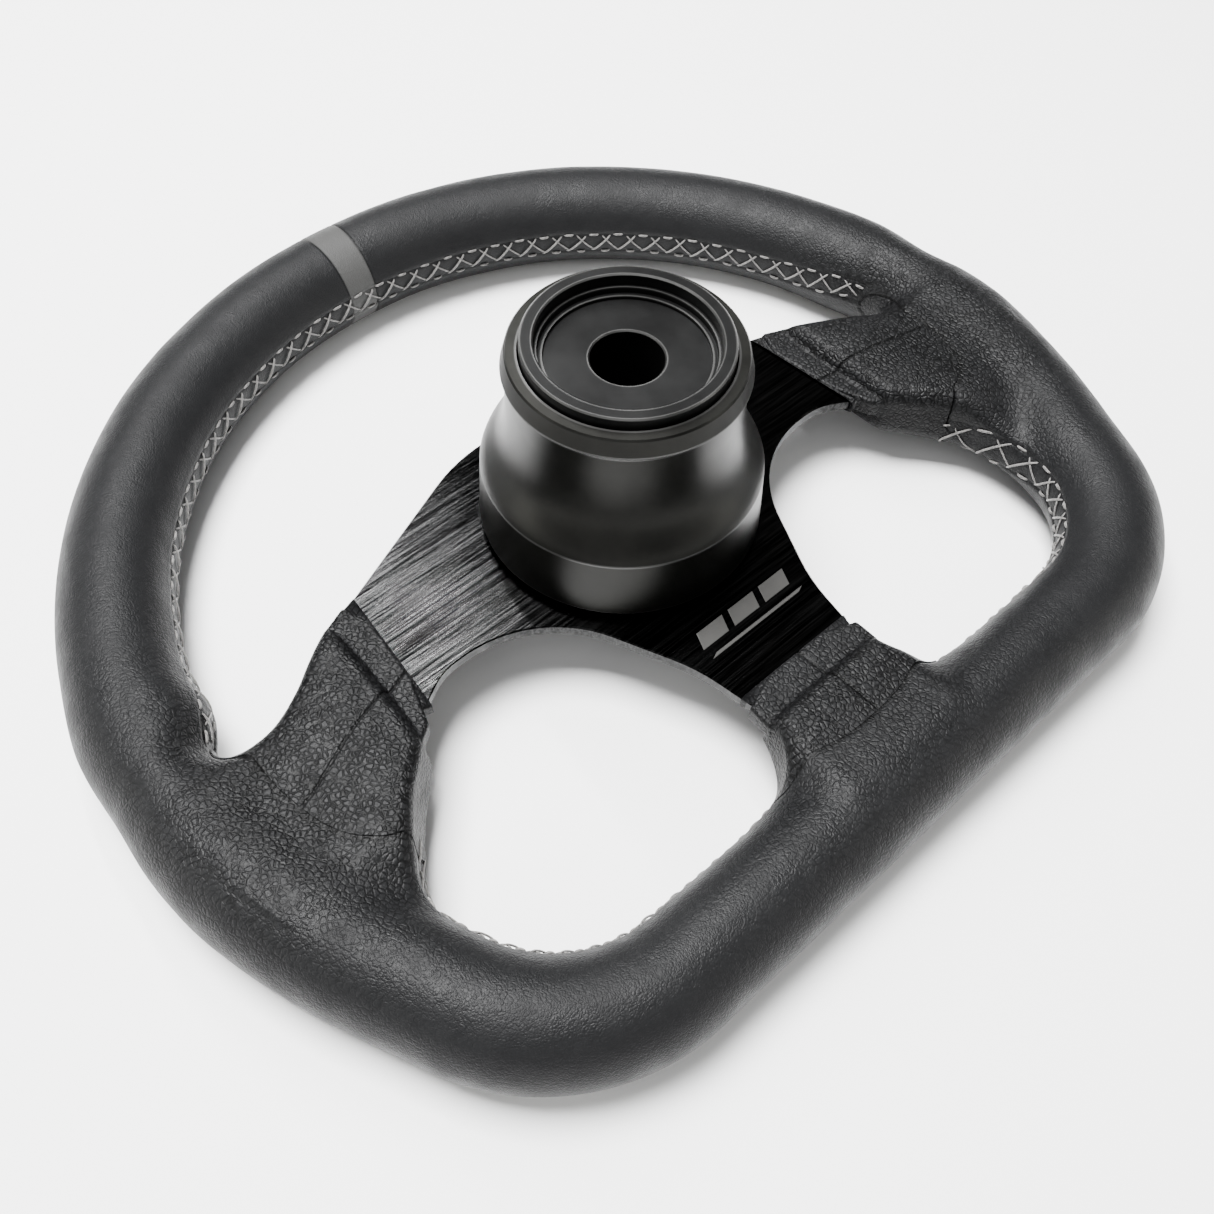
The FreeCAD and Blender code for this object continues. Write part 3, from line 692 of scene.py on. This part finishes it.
# Rings of painted edge highlight, partly edge wear, as (radius, height) in millimetres.
SLEEVE_WEAR_AND_HIGHLIGHT_RINGS = ((42.8, 23.8), (34.1, 59.4), (35.2, 60.9), (34.7, 66.3), (30.5, 66.4), (44.0, 2.9))
SLEEVE = anodised("black_anodised_sleeve", (0.0115, 0.0115, 0.0104), 0.36, SLEEVE_WEAR_AND_HIGHLIGHT_RINGS, 0.06)
HEAD_WEAR_AND_HIGHLIGHT_RINGS = ((29.5, 69.8), (26.1, 69.9), (24.9, 66.2), (23.5, 64.2), (10.8, 63.0))
HEAD = anodised("black_anodised_head", (0.0085, 0.0086, 0.0086), 0.38, HEAD_WEAR_AND_HIGHLIGHT_RINGS, 0.06)
MARK = steel("mark_silver", (0.045, 0.0445, 0.043), 0.5)
BLACK_STEEL = steel("black_steel", (0.04, 0.04, 0.042), 0.35)
BRIGHT_STEEL = steel("bright_steel", (0.45, 0.45, 0.45), 0.22)
CAP = plastic("cap_plastic", (0.010, 0.010, 0.011, 1))
BARE = steel("bare_aluminium", (0.5, 0.5, 0.51), 0.3)
FOAM = plastic("foam", (0.02, 0.02, 0.02, 1))


# ------------------------------------------------------------------ grip leather
ROW_HALF = 4.0
SEAM_FINE = 19.0
FOAM_DEPTH = 3.2
WRAP_STEP = 1.4
BOOT_STEP = 0.7
STRIPE_MARK = (STRIPE_HALF, 0.8, 0.22)


def steps(low, high, coarse, marks=()):
    """Sample places from low to high, finer around each (place, reach, step) mark."""
    places = [low]
    while places[-1] < high:
        here = places[-1]
        step = coarse
        for at, reach, fine in marks:
            gap = max(abs(here - at) - reach, 0.0)
            step = min(step, fine + gap * 0.25)
        places.append(here + step)
    places[-1] = high
    return np.array(places)


def seam_offsets():
    """Angles across the seam, closely spaced near the stitches, around the whole grip."""
    inner = np.linspace(-SEAM_FINE, SEAM_FINE, 41)
    near = np.linspace(SEAM_FINE, 75, 36)[1:]
    rest = np.linspace(75, 285, 90)[1:]
    return np.concatenate([inner, near, rest, 360 - near[:-1][::-1]])


def crease_amount(s, phi):
    """How wrinkled the leather is: strong beside the spokes, weak on the open grip."""
    turn = ((phi - 150 + 180) % 360) - 180
    near = bell(s - SPOKE_S, 62) * (0.30 + 0.7 * bell(turn, 75))
    low = 0.7 * bell(s - HALF, 62) * (0.3 + 0.7 * bell(turn, 80))
    return np.clip(0.08 + near + low, 0, 1)


def stitched_share(s, side):
    """1 where the seam is stitched, 0 under the boots."""
    loop = side_loop(side)
    under = 1 - smooth(np.abs(s - loop.s), loop.half_s - 3, loop.half_s + 1)
    below = smooth(s, HALF - BOTTOM_LOOP.half_s - 1, HALF - BOTTOM_LOOP.half_s + 3)
    return 1 - np.clip(under + below, 0, 1)


def outward_normals(P, origin):
    N = grid_normals(P, False)
    way = np.sum(N * (P - origin), axis=-1)
    return N * np.where(way.mean() < 0, -1, 1)


def wrap_surface(s, side):
    """Points, attributes and boot level of one half of the wrap, folds and seams included."""
    offset = seam_offsets()[None] + 0 * s[:, None]
    S = s[:, None] + 0 * offset
    phi = (seam_phi(S) + offset) % 360
    P = grip_point(S, phi, side)
    N = outward_normals(P, P.mean(1, keepdims=True))
    flat = P.reshape(-1, 3)

    def field(size, seed):
        return noise3(flat / np.asarray(size, float), seed).reshape(S.shape)

    crease = crease_amount(S, phi)
    push = field(30, 3) * 0.20 + field(12, 4) * 0.06
    across = np.stack([S.ravel() / 5.5, np.radians(phi.ravel()) * 17 / 15.0, 0 * S.ravel()], 1)
    fold = noise3(across, 5).reshape(S.shape)
    push = push + crease * (0.03 * field(4.2, 6) - 0.05 * np.abs(field((7.5, 4.6, 6), 7)))
    push = push + 0.08 * fold * (0.2 + crease)
    wrapped = ((offset + 180) % 360) - 180
    arc = np.radians(wrapped) * 17.3
    stitched = stitched_share(S, side)
    panel = smooth(ROW_HALF + 0.5 - np.abs(arc), 0, 0.8)
    push = push - 0.28 * panel * stitched
    for row in (-ROW_HALF, ROW_HALF):
        push = push - 0.20 * bell(arc - row, 0.6) * stitched
        push = push + 0.10 * bell(np.abs(arc) - ROW_HALF - 1.6, 1.0) * stitched / 2
    level = np.ones_like(S) * 9
    # seam: painted shade in the grooves along the stripe's edges and the boots' edges
    seam = 0.8 * bell(np.abs(S) - STRIPE_HALF, 0.22)
    for loop in (side_loop(side), BOTTOM_LOOP):
        here = loop.level(S, phi)
        by_s = loop.level(S + 0.5, phi) - loop.level(S - 0.5, phi)
        by_arc = (loop.level(S, phi + 1) - loop.level(S, phi - 1)) / (2 * math.radians(1) * 18.5)
        reach = (here - 1) / np.maximum(np.hypot(by_s, by_arc), 0.01)
        push = push - 1.5 * (1 - smooth(reach, -1.5, -0.1)) * (here < 1.6)
        push = push - 0.45 * bell(reach, 0.6)
        # painted shade in the groove along the boot's edge
        seam = np.maximum(seam, bell(reach, 0.38))
        level = np.minimum(level, here)
    push = push - 0.40 * bell(np.abs(S) - STRIPE_HALF, 0.45)
    return P + N * push[..., None], {"crease": crease, "seam": seam}, level


def build_wraps():
    for side, name in ((1, "wrap_right"), (-1, "wrap_left")):
        loop = side_loop(side)
        side_mark = (loop.s, loop.half_s + 6, BOOT_STEP)
        bottom_mark = (HALF, BOTTOM_LOOP.half_s + 6, BOOT_STEP)
        s = steps(STRIPE_HALF, HALF, WRAP_STEP, [side_mark, bottom_mark, STRIPE_MARK])
        P, attrs, level = wrap_surface(s, side)
        obj = grid_mesh("leather_" + name, P, wrap_v=True, flip=side > 0, keep=level > 0.9, attrs=attrs)
        finish_piece(obj, "wheel", BLACK_LEATHER, "leather_black", name)
    s = steps(0.0, STRIPE_HALF, 0.5, [STRIPE_MARK])
    right, attrs, _ = wrap_surface(s, 1)
    left, attrs_left, _ = wrap_surface(s, -1)
    P = np.concatenate([left[::-1], right[1:]])
    attrs = {key: np.concatenate([attrs_left[key][::-1], attrs[key][1:]]) for key in attrs}
    obj = grid_mesh("leather_centre_stripe", P, wrap_v=True, flip=True, attrs=attrs)
    finish_piece(obj, "wheel", GREY_LEATHER, "leather_grey", "centre_stripe")


def build_foam():
    s = np.linspace(0, 2 * HALF, 420, endpoint=False)
    phi = np.linspace(0, 360, 40, endpoint=False)
    folded = np.where(s > HALF, 2 * HALF - s, s)[:, None]
    turn = np.where(s > HALF, -1.0, 1.0)[:, None]
    x, y, nx, ny = (v[:, None] for v in rim_path(folded[:, 0]))
    a = np.radians(phi)[None]
    r = grip_radius(folded, phi[None], turn) - FOAM_DEPTH
    P = np.stack([(x + nx * r * np.cos(a)) * turn, y + ny * r * np.cos(a), RIM_Z + r * np.sin(a)], -1)
    obj = grid_mesh("grip_foam_core", P, wrap_u=True, wrap_v=True)
    finish_piece(obj, "wheel", FOAM, "foam", "grip_foam")


build_wraps()
build_foam()


# ------------------------------------------------------------------ boots
class Section:
    """Cross-section of a boot: a rounded slab across the spoke, with its seam's place."""

    def __init__(self, low, high, top, bottom, power, seam):
        self.low, self.high = np.array(low, float), np.array(high, float)
        self.top, self.bottom, self.power, self.seam = top, bottom, power, seam

    def flat(self, t):
        """t 0 is the middle of the column side, then toward the upper edge."""
        up, across = superellipse(t, self.power)
        middle = (self.low + self.high) / 2
        half = (self.high - self.low) / 2
        xy = middle + across[:, None] * half
        z = (self.top + self.bottom) / 2 + up * (self.top - self.bottom) / 2
        return np.column_stack([xy, PLATE_TOP + z])

    def start(self):
        """The angle where the section crosses the seam, a line in plan."""
        (ax, ay), (bx, by) = self.seam
        half, middle = (self.high - self.low) / 2, (self.low + self.high) / 2
        way = bx - ax, by - ay
        across = (ax - middle[0]) * way[1] - (ay - middle[1]) * way[0]
        across /= half[0] * way[1] - half[1] * way[0]
        across = min(max(across, -0.9), 0.9)
        return math.asin(math.copysign(abs(across) ** (self.power / 2), across))


def spread(curve, start, shares):
    """Curve angles at the given shares of its length, from the start angle round."""
    t = start + np.linspace(0, 2 * math.pi, 6001)
    p = curve(t)
    length = np.concatenate([[0], np.cumsum(np.linalg.norm(np.diff(p, axis=0), axis=1))])
    return np.interp(shares * length[-1], length, t)


def catmull(points, at):
    """Cubic interpolation of stacked sections at fractional places."""
    k = len(points)
    i = np.clip(np.floor(at).astype(int), 0, k - 2)
    f = (at - i)[:, None, None]
    p0, p1 = points[np.maximum(i - 1, 0)], points[i]
    p2, p3 = points[i + 1], points[np.minimum(i + 2, k - 1)]
    return 0.5 * (2 * p1 + (p2 - p0) * f + (2 * p0 - 5 * p1 + 4 * p2 - p3) * f ** 2
                  + (3 * p1 - p0 - 3 * p2 + p3) * f ** 3)


def boot_shares(count):
    close = np.array([0.2, 0.4, 0.6, 0.85, 1.2]) / 130
    even = np.linspace(0, 1, count, endpoint=False)
    even = even[(even > 1.6 / 130) & (even < 1 - 1.6 / 130)]
    return np.sort(np.concatenate([[0.0], close, 1 - close, even]))


def boot_surface(sections, loop, side, loop_start, blend_rows=74):
    """Rows from the flap on the plate to the loop on the grip, settled on the leather's face."""
    shares = boot_shares(210)
    stack = np.array([k.flat(spread(k.flat, k.start(), shares)) for k in sections])
    rows = []
    for k in range(len(sections) - 1):
        gap = np.linalg.norm(stack[k + 1] - stack[k], axis=1).max()
        n = max(int(gap / 0.5), 3)
        rows.append(k + np.arange(n) / n)
    flap = catmull(stack, np.concatenate(rows))
    t = spread(loop.flat, loop_start, shares)
    s, phi = loop.at(t)
    end = grip_point(s, phi, 1 if side == 0 else side)
    if side:
        end[:, 0] *= side
    slope = leather_slope(end, side or 1)
    rim_way = np.roll(end, -1, 0) - np.roll(end, 1, 0)
    outward = np.cross(rim_way, slope)
    outward /= np.linalg.norm(outward, axis=1, keepdims=True)
    middle = end.mean(0)
    outward *= np.sign(np.sum(outward * (end - middle), axis=1).mean())
    start = stack[-1]
    leave = stack[-1] - stack[-2]
    leave /= np.linalg.norm(leave, axis=1, keepdims=True)
    f = np.linspace(0, 1, blend_rows)[:, None, None]
    span = np.linalg.norm(end - start, axis=1)[:, None]
    h00, h10 = 2 * f ** 3 - 3 * f ** 2 + 1, f ** 3 - 2 * f ** 2 + f
    h01, h11 = 3 * f ** 2 - 2 * f ** 3, f ** 3 - f ** 2
    join = h00 * start + h10 * leave * span * 0.8 + h01 * end + h11 * outward * span * 0.7
    P = np.concatenate([flap, join])
    settled = settle(P[8:-1].reshape(-1, 3), side or 1).reshape(P[8:-1].shape)
    P[8:-1] = settled
    return P


def boot(name, sections, loop, side, node, loop_start=0.0):
    """One boot; side 0 is the bottom one."""
    P = boot_surface(sections, loop, side, loop_start)
    fold = -1 if side < 0 else 1
    P[..., 0] *= fold
    N = outward_normals(P, P.mean(1, keepdims=True))
    shape = P.shape[:2]
    flat = P.reshape(-1, 3)

    def field(size, seed):
        return noise3(flat / np.asarray(size, float), seed).reshape(shape)

    rows = np.arange(shape[0])[:, None] + np.zeros(shape)
    last = shape[0] - 1
    on_pad = smooth(rows, 18, 40)
    push = 0.22 * field(13, 8) * on_pad
    push = push - 0.05 * np.abs(field((5.2, 3.6, 4), 9)) + 0.02 * field(2.2, 10)
    push = push * (1 - smooth(rows, last - 4, last)) * smooth(rows, 5, 10)
    gap = np.linalg.norm(P - P[:, :1], axis=-1)
    nearby = (np.arange(shape[1]) < 12) | (np.arange(shape[1]) > shape[1] - 12)
    centre = bell(gap, 0.42) * nearby * smooth(rows, 4, 8)
    push = push - 0.5 * centre - 0.8 * smooth(rows, last - 1.8, last)
    P = P + N * push[..., None]
    # The seam attribute paints shade along the centre seam and the boot's edge on the grip: painted shade in
    # these seam grooves.
    attrs = {"crease": 0.72 + 0.28 * on_pad, "seam": np.maximum(centre, smooth(rows, last - 1.6, last - 0.4))}
    obj = grid_mesh(name, P, wrap_v=True, flip=fold > 0, attrs=attrs)
    finish_piece(obj, "wheel", BLACK_LEATHER, "leather_black", node)
    return obj


RIGHT_SEAM = ((84.6, -4.1), (136.0, -13.5))
LEFT_SEAM = ((88.0, -6.2), (138.7, -23.6))
BOTTOM_SEAM = ((1.6, -76.0), (2.5, -106.4))


def side_sections(seam, deep):
    """deep is how far the pad's lower edge reaches past the plate's."""
    return [
        Section((89.7, -18.3), (85.3, 24.0), -0.1, -3.9, 6, seam),
        Section((89.2, -19.8), (84.7, 25.2), 0.9, -4.9, 7, seam),
        Section((89.4, -20.3), (84.7, 25.4), 1.3, -5.3, 8, seam),
        Section((91.0, -21.6), (86.0, 24.9), 1.35, -5.35, 8, seam),
        Section((95.2, -24.6), (92.2, 22.4), 1.4, -5.5, 7, seam),
        Section((96.6, -26.0 - deep), (93.6, 21.8), 1.8, -9.5, 5, seam),
        Section((97.4, -28.0 - deep), (94.6, 21.2), 4.2, -12.5, 4.4, seam),
        Section((100.5, -31.0 - deep), (98.0, 19.6), 5.6, -13.8, 4.2, seam),
        Section((105.0, -35.5 - deep), (104.0, 16.8), 5.9, -14.8, 4.0, seam),
        Section((110.5, -40.5 - deep), (111.0, 13.0), 5.8, -16.0, 3.8, seam),
    ]


def bottom_sections():
    def across(y, half, top, bottom, power):
        return Section((-half, y), (half, y), top, bottom, power, BOTTOM_SEAM)

    return [
        across(-76.8, 20.4, -0.1, -3.9, 6), across(-75.6, 21.9, 0.9, -4.9, 7),
        across(-75.7, 22.3, 1.3, -5.3, 8), across(-77.4, 22.4, 1.35, -5.35, 8),
        across(-83.5, 22.8, 1.4, -5.5, 7), across(-84.6, 22.8, 2.4, -8.5, 5),
        across(-86.2, 23.0, 4.0, -11.0, 4.4), across(-89.0, 23.4, 4.8, -12.2, 4.2),
        across(-93.0, 25.0, 5.0, -13.5, 4.0),
    ]


boot("boot_leather_right", side_sections(RIGHT_SEAM, 0.0), RIGHT_LOOP, 1, "boot_right", 0.05)
boot("boot_leather_left", side_sections(LEFT_SEAM, 0.5), LEFT_LOOP, -1, "boot_left", -0.02)
boot("boot_leather_bottom", bottom_sections(), BOTTOM_LOOP, 0, "boot_bottom", 0.05)


# ------------------------------------------------------------------ cross stitch
PITCH = 10.7


def tube(path, radius, up, sides=8, twist=1.5, flatten=0.85):
    """Rings of points around a path, flattened toward the leather, and the thread's ply."""
    tangent = np.gradient(path, axis=0)
    tangent /= np.linalg.norm(tangent, axis=1, keepdims=True)
    side = np.cross(tangent, up)
    side /= np.linalg.norm(side, axis=1, keepdims=True)
    lift = np.cross(side, tangent)
    a = np.linspace(0, 2 * math.pi, sides, endpoint=False)
    length = np.concatenate([[0], np.cumsum(np.linalg.norm(np.diff(path, axis=0), axis=1))])
    ring = np.cos(a)[None, :, None] * side[:, None] + flatten * np.sin(a)[None, :, None] * lift[:, None]
    points = path[:, None] + ring * radius[:, None, None]
    return points, 0.5 + 0.5 * np.cos(2 * (a[None] - length[:, None] * twist))


def seam_place(u, o, lift):
    """Point over the seam at run u (negative on the left) and o across, in millimetres."""
    s = np.abs(u)
    phi = seam_phi(s) - o / 17.5 * 180 / math.pi
    out = np.empty((len(s), 3))
    for side in (1, -1):
        on = (u >= 0) if side > 0 else (u < 0)
        if on.any():
            out[on] = grip_point(s[on], phi[on], side, lift[on])
    return out


def stitch_run(name, low, high):
    """Crossed lacing between two dashed rows; o is positive toward the column."""
    count = int(round((high - low) / PITCH))
    pitch = (high - low) / count
    points, faces, plies = [], [], []
    offset = 0

    def narrowing(u):
        """The rows draw together beside a boot."""
        return 0.55 + 0.45 * float(smooth(min(u - low, high - u), -4.0, 15.0))

    def add(u0, o0, u1, o1, radius, height, bow=0.0, count=13):
        nonlocal offset
        u0, o0, u1, o1 = np.array([u0, o0, u1, o1]) + RNG.normal(0, 0.13, 4)
        o0, o1 = o0 * narrowing(u0), o1 * narrowing(u1)
        f = np.linspace(0, 1, count)
        arch = np.sin(math.pi * f)
        lift = -0.75 + (0.75 + height) * arch ** 0.4
        u = u0 + (u1 - u0) * f
        o = o0 + (o1 - o0) * f + bow * arch
        path = seam_place(u, o, lift)
        up = path - seam_place(u, o, lift - 1.0)
        ring, ply = tube(path, radius * (0.62 + 0.38 * arch ** 0.35), up)
        rows, cols = ring.shape[:2]
        index = np.arange(rows * cols).reshape(rows, cols) + offset
        index = np.hstack([index, index[:, :1]])
        quads = np.stack([index[:-1, :-1], index[1:, :-1], index[1:, 1:], index[:-1, 1:]], -1)
        points.append(ring.reshape(-1, 3))
        plies.append(ply.ravel())
        faces.append(quads.reshape(-1, 4))
        offset += rows * cols

    for i in range(count):
        u = low + i * pitch
        middle = u + pitch / 2
        add(u - 1.9, ROW_HALF, u + 1.9, ROW_HALF, 0.46, 0.12)
        add(middle - 1.9, -ROW_HALF, middle + 1.9, -ROW_HALF, 0.46, 0.12)
        add(middle - 2.1, ROW_HALF - 0.3, u + pitch + 0.6, -ROW_HALF + 0.5, 0.30, 0.05)
        add(u - 0.8, -ROW_HALF + 0.1, middle + 2.1, ROW_HALF - 0.3, 0.38, 0.42)
    add(high - 1.9, ROW_HALF, high + 1.9, ROW_HALF, 0.46, 0.12)
    obj = raw_mesh(name, np.concatenate(points), np.concatenate(faces), {"ply": np.concatenate(plies)})
    finish_piece(obj, "wheel", THREAD, "thread_grey")
    return obj


def build_stitches():
    def ends(loop):
        return loop.s - loop.half_s - 2.5, loop.s + loop.half_s - 1.5

    low_end = HALF - BOTTOM_LOOP.half_s - 2.5
    stitch_run("stitches_top", -ends(LEFT_LOOP)[0], ends(RIGHT_LOOP)[0])
    stitch_run("stitches_low_right", ends(RIGHT_LOOP)[1], low_end)
    stitch_run("stitches_low_left", -low_end, -ends(LEFT_LOOP)[1])


build_stitches()


# ------------------------------------------------------------------ plain mark on the lower spoke
def build_mark():
    """Three plain bars over a thin line, each given as centre x, centre y, width, depth."""
    slabs = [(x, -54.0, 10.5, 5.6) for x in (-12.0, 1.0, 14.0)]
    slabs.append((1.0, -60.2, 36.5, 1.1))
    points, faces = [], []
    for x, y, width, depth in slabs:
        base = len(points)
        for inset, lift in ((0.0, -0.05), (0.0, 0.03), (0.12, 0.08)):
            a, b = width / 2 - inset, depth / 2 - inset
            points += [(x + i * a + 1.2 * j, y + j * b, PLATE_TOP + lift)
                       for i, j in ((-1, -1), (1, -1), (1, 1), (-1, 1))]
        for ring in (0, 4):
            for k in range(4):
                m = (k + 1) % 4
                faces.append((base + ring + k, base + ring + m, base + ring + 4 + m, base + ring + 4 + k))
        faces += [(base + 8, base + 9, base + 10, base + 11), (base + 3, base + 2, base + 1, base)]
    obj = raw_mesh("plain_mark", np.array(points), np.array(faces))
    obj.data.polygons.foreach_set("use_smooth", np.zeros(len(obj.data.polygons), bool))
    finish_piece(obj, "wheel", MARK, "mark_silver")


build_mark()


# ------------------------------------------------------------------ CAD pieces keep their shape
def dress(node, material):
    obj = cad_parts[node]
    obj.data.materials.clear()
    obj.data.materials.append(material)


for node, material in (
    ("spoke_plate", BRUSHED), ("rim_core", BARE), ("grip_foam", FOAM), ("bolt_ring", ANODISED),
    ("hub_bolts", BLACK_STEEL), ("centre_cap", CAP), ("hub_body", ANODISED),
    ("release_sleeve", SLEEVE), ("stop_ring", BLACK_STEEL), ("spring_washer", BRIGHT_STEEL),
    ("release_spring", BRIGHT_STEEL), ("column_adapter", HEAD),
):
    dress(node, material)
for number in range(1, 7):
    dress("lock_ball_%d" % number, BRIGHT_STEEL)


# ------------------------------------------------------------------ stage, light, camera
FLOOR_SIZE = 8.0
FLOOR_GAP = 0.0001
WORLD_STRENGTH = 0.25


def stage():
    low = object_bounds()[0][2]
    bpy.ops.mesh.primitive_plane_add(size=FLOOR_SIZE, location=(0, 0, low - FLOOR_GAP))
    floor = bpy.context.object
    floor.name = "floor"
    n = Nodes("floor")
    n.set(Base_Color=n.mix(n.noise(3.0), (0.86, 0.86, 0.86, 1), (0.88, 0.88, 0.88, 1)), Roughness=0.7)
    n.set(Specular_IOR_Level=0.1)
    floor.data.materials.append(n.material)
    floor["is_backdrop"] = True
    world = bpy.data.worlds.new("studio")
    bpy.context.scene.world = world
    world.use_nodes = True
    background = world.node_tree.nodes["Background"]
    background.inputs["Color"].default_value = (1, 1, 1, 1)
    background.inputs["Strength"].default_value = WORLD_STRENGTH


NEUTRAL = (1, 1, 1)
WARM = (1.0, 0.99, 0.93)
# name, place, target, size, power, colour; the band is the streak across the left spoke
LIGHTS = (
    ("key", (-0.20, 0.30, 1.4), (0.0, 0.0, -0.06), (0.7, 0.7), 125, NEUTRAL),
    ("band", (0.32, 0.72, 1.15), (0.32, 0.0, -0.06), (0.05, 1.0), 24, NEUTRAL),
    ("fill", (-1.0, -0.9, 1.3), (0, 0, -0.05), (1.8, 1.8), 12, NEUTRAL),
    ("left_strip", (-1.1, 0.5, 0.25), (0, 0, -0.03), (0.35, 0.7), 6, WARM),
    ("right_strip", (0.75, -1.0, 0.25), (0, 0, -0.03), (0.35, 0.7), 6, WARM),
)


def area(name, place, target, size, power, colour):
    light = bpy.data.lights.new(name, "AREA")
    light.shape = "RECTANGLE"
    light.size, light.size_y = size
    light.energy = power
    light.color = colour
    obj = bpy.data.objects.new(name, light)
    obj.location = place
    obj.rotation_euler = (Vector(target) - Vector(place)).to_track_quat("-Z", "Y").to_euler()
    bpy.context.scene.collection.objects.link(obj)


VIEW_AZIMUTH = math.radians(-44.0)
VIEW_ELEVATION = math.radians(55.59)
VIEW_ROLL = math.radians(2.5)
CAMERA_PLACE = (-0.17113, -0.17345, 0.23484)
CAMERA_LENS = 35.86


def camera():
    back = Vector((math.sin(VIEW_AZIMUTH) * math.cos(VIEW_ELEVATION),
                   -math.cos(VIEW_AZIMUTH) * math.cos(VIEW_ELEVATION), math.sin(VIEW_ELEVATION)))
    right = (-back).cross(Vector((0, 0, 1))).normalized()
    up = right.cross(-back)
    turned_right = math.cos(VIEW_ROLL) * right + math.sin(VIEW_ROLL) * up
    turned_up = -math.sin(VIEW_ROLL) * right + math.cos(VIEW_ROLL) * up
    data = bpy.data.cameras.new("camera")
    data.lens = CAMERA_LENS
    data.sensor_width = 36.0
    data.clip_start = 0.01
    obj = bpy.data.objects.new("camera", data)
    basis = Matrix((turned_right, turned_up, back)).transposed().to_4x4()
    obj.matrix_world = Matrix.Translation(CAMERA_PLACE) @ basis
    bpy.context.scene.collection.objects.link(obj)
    bpy.context.scene.camera = obj


stage()
for light in LIGHTS:
    area(*light)
camera()
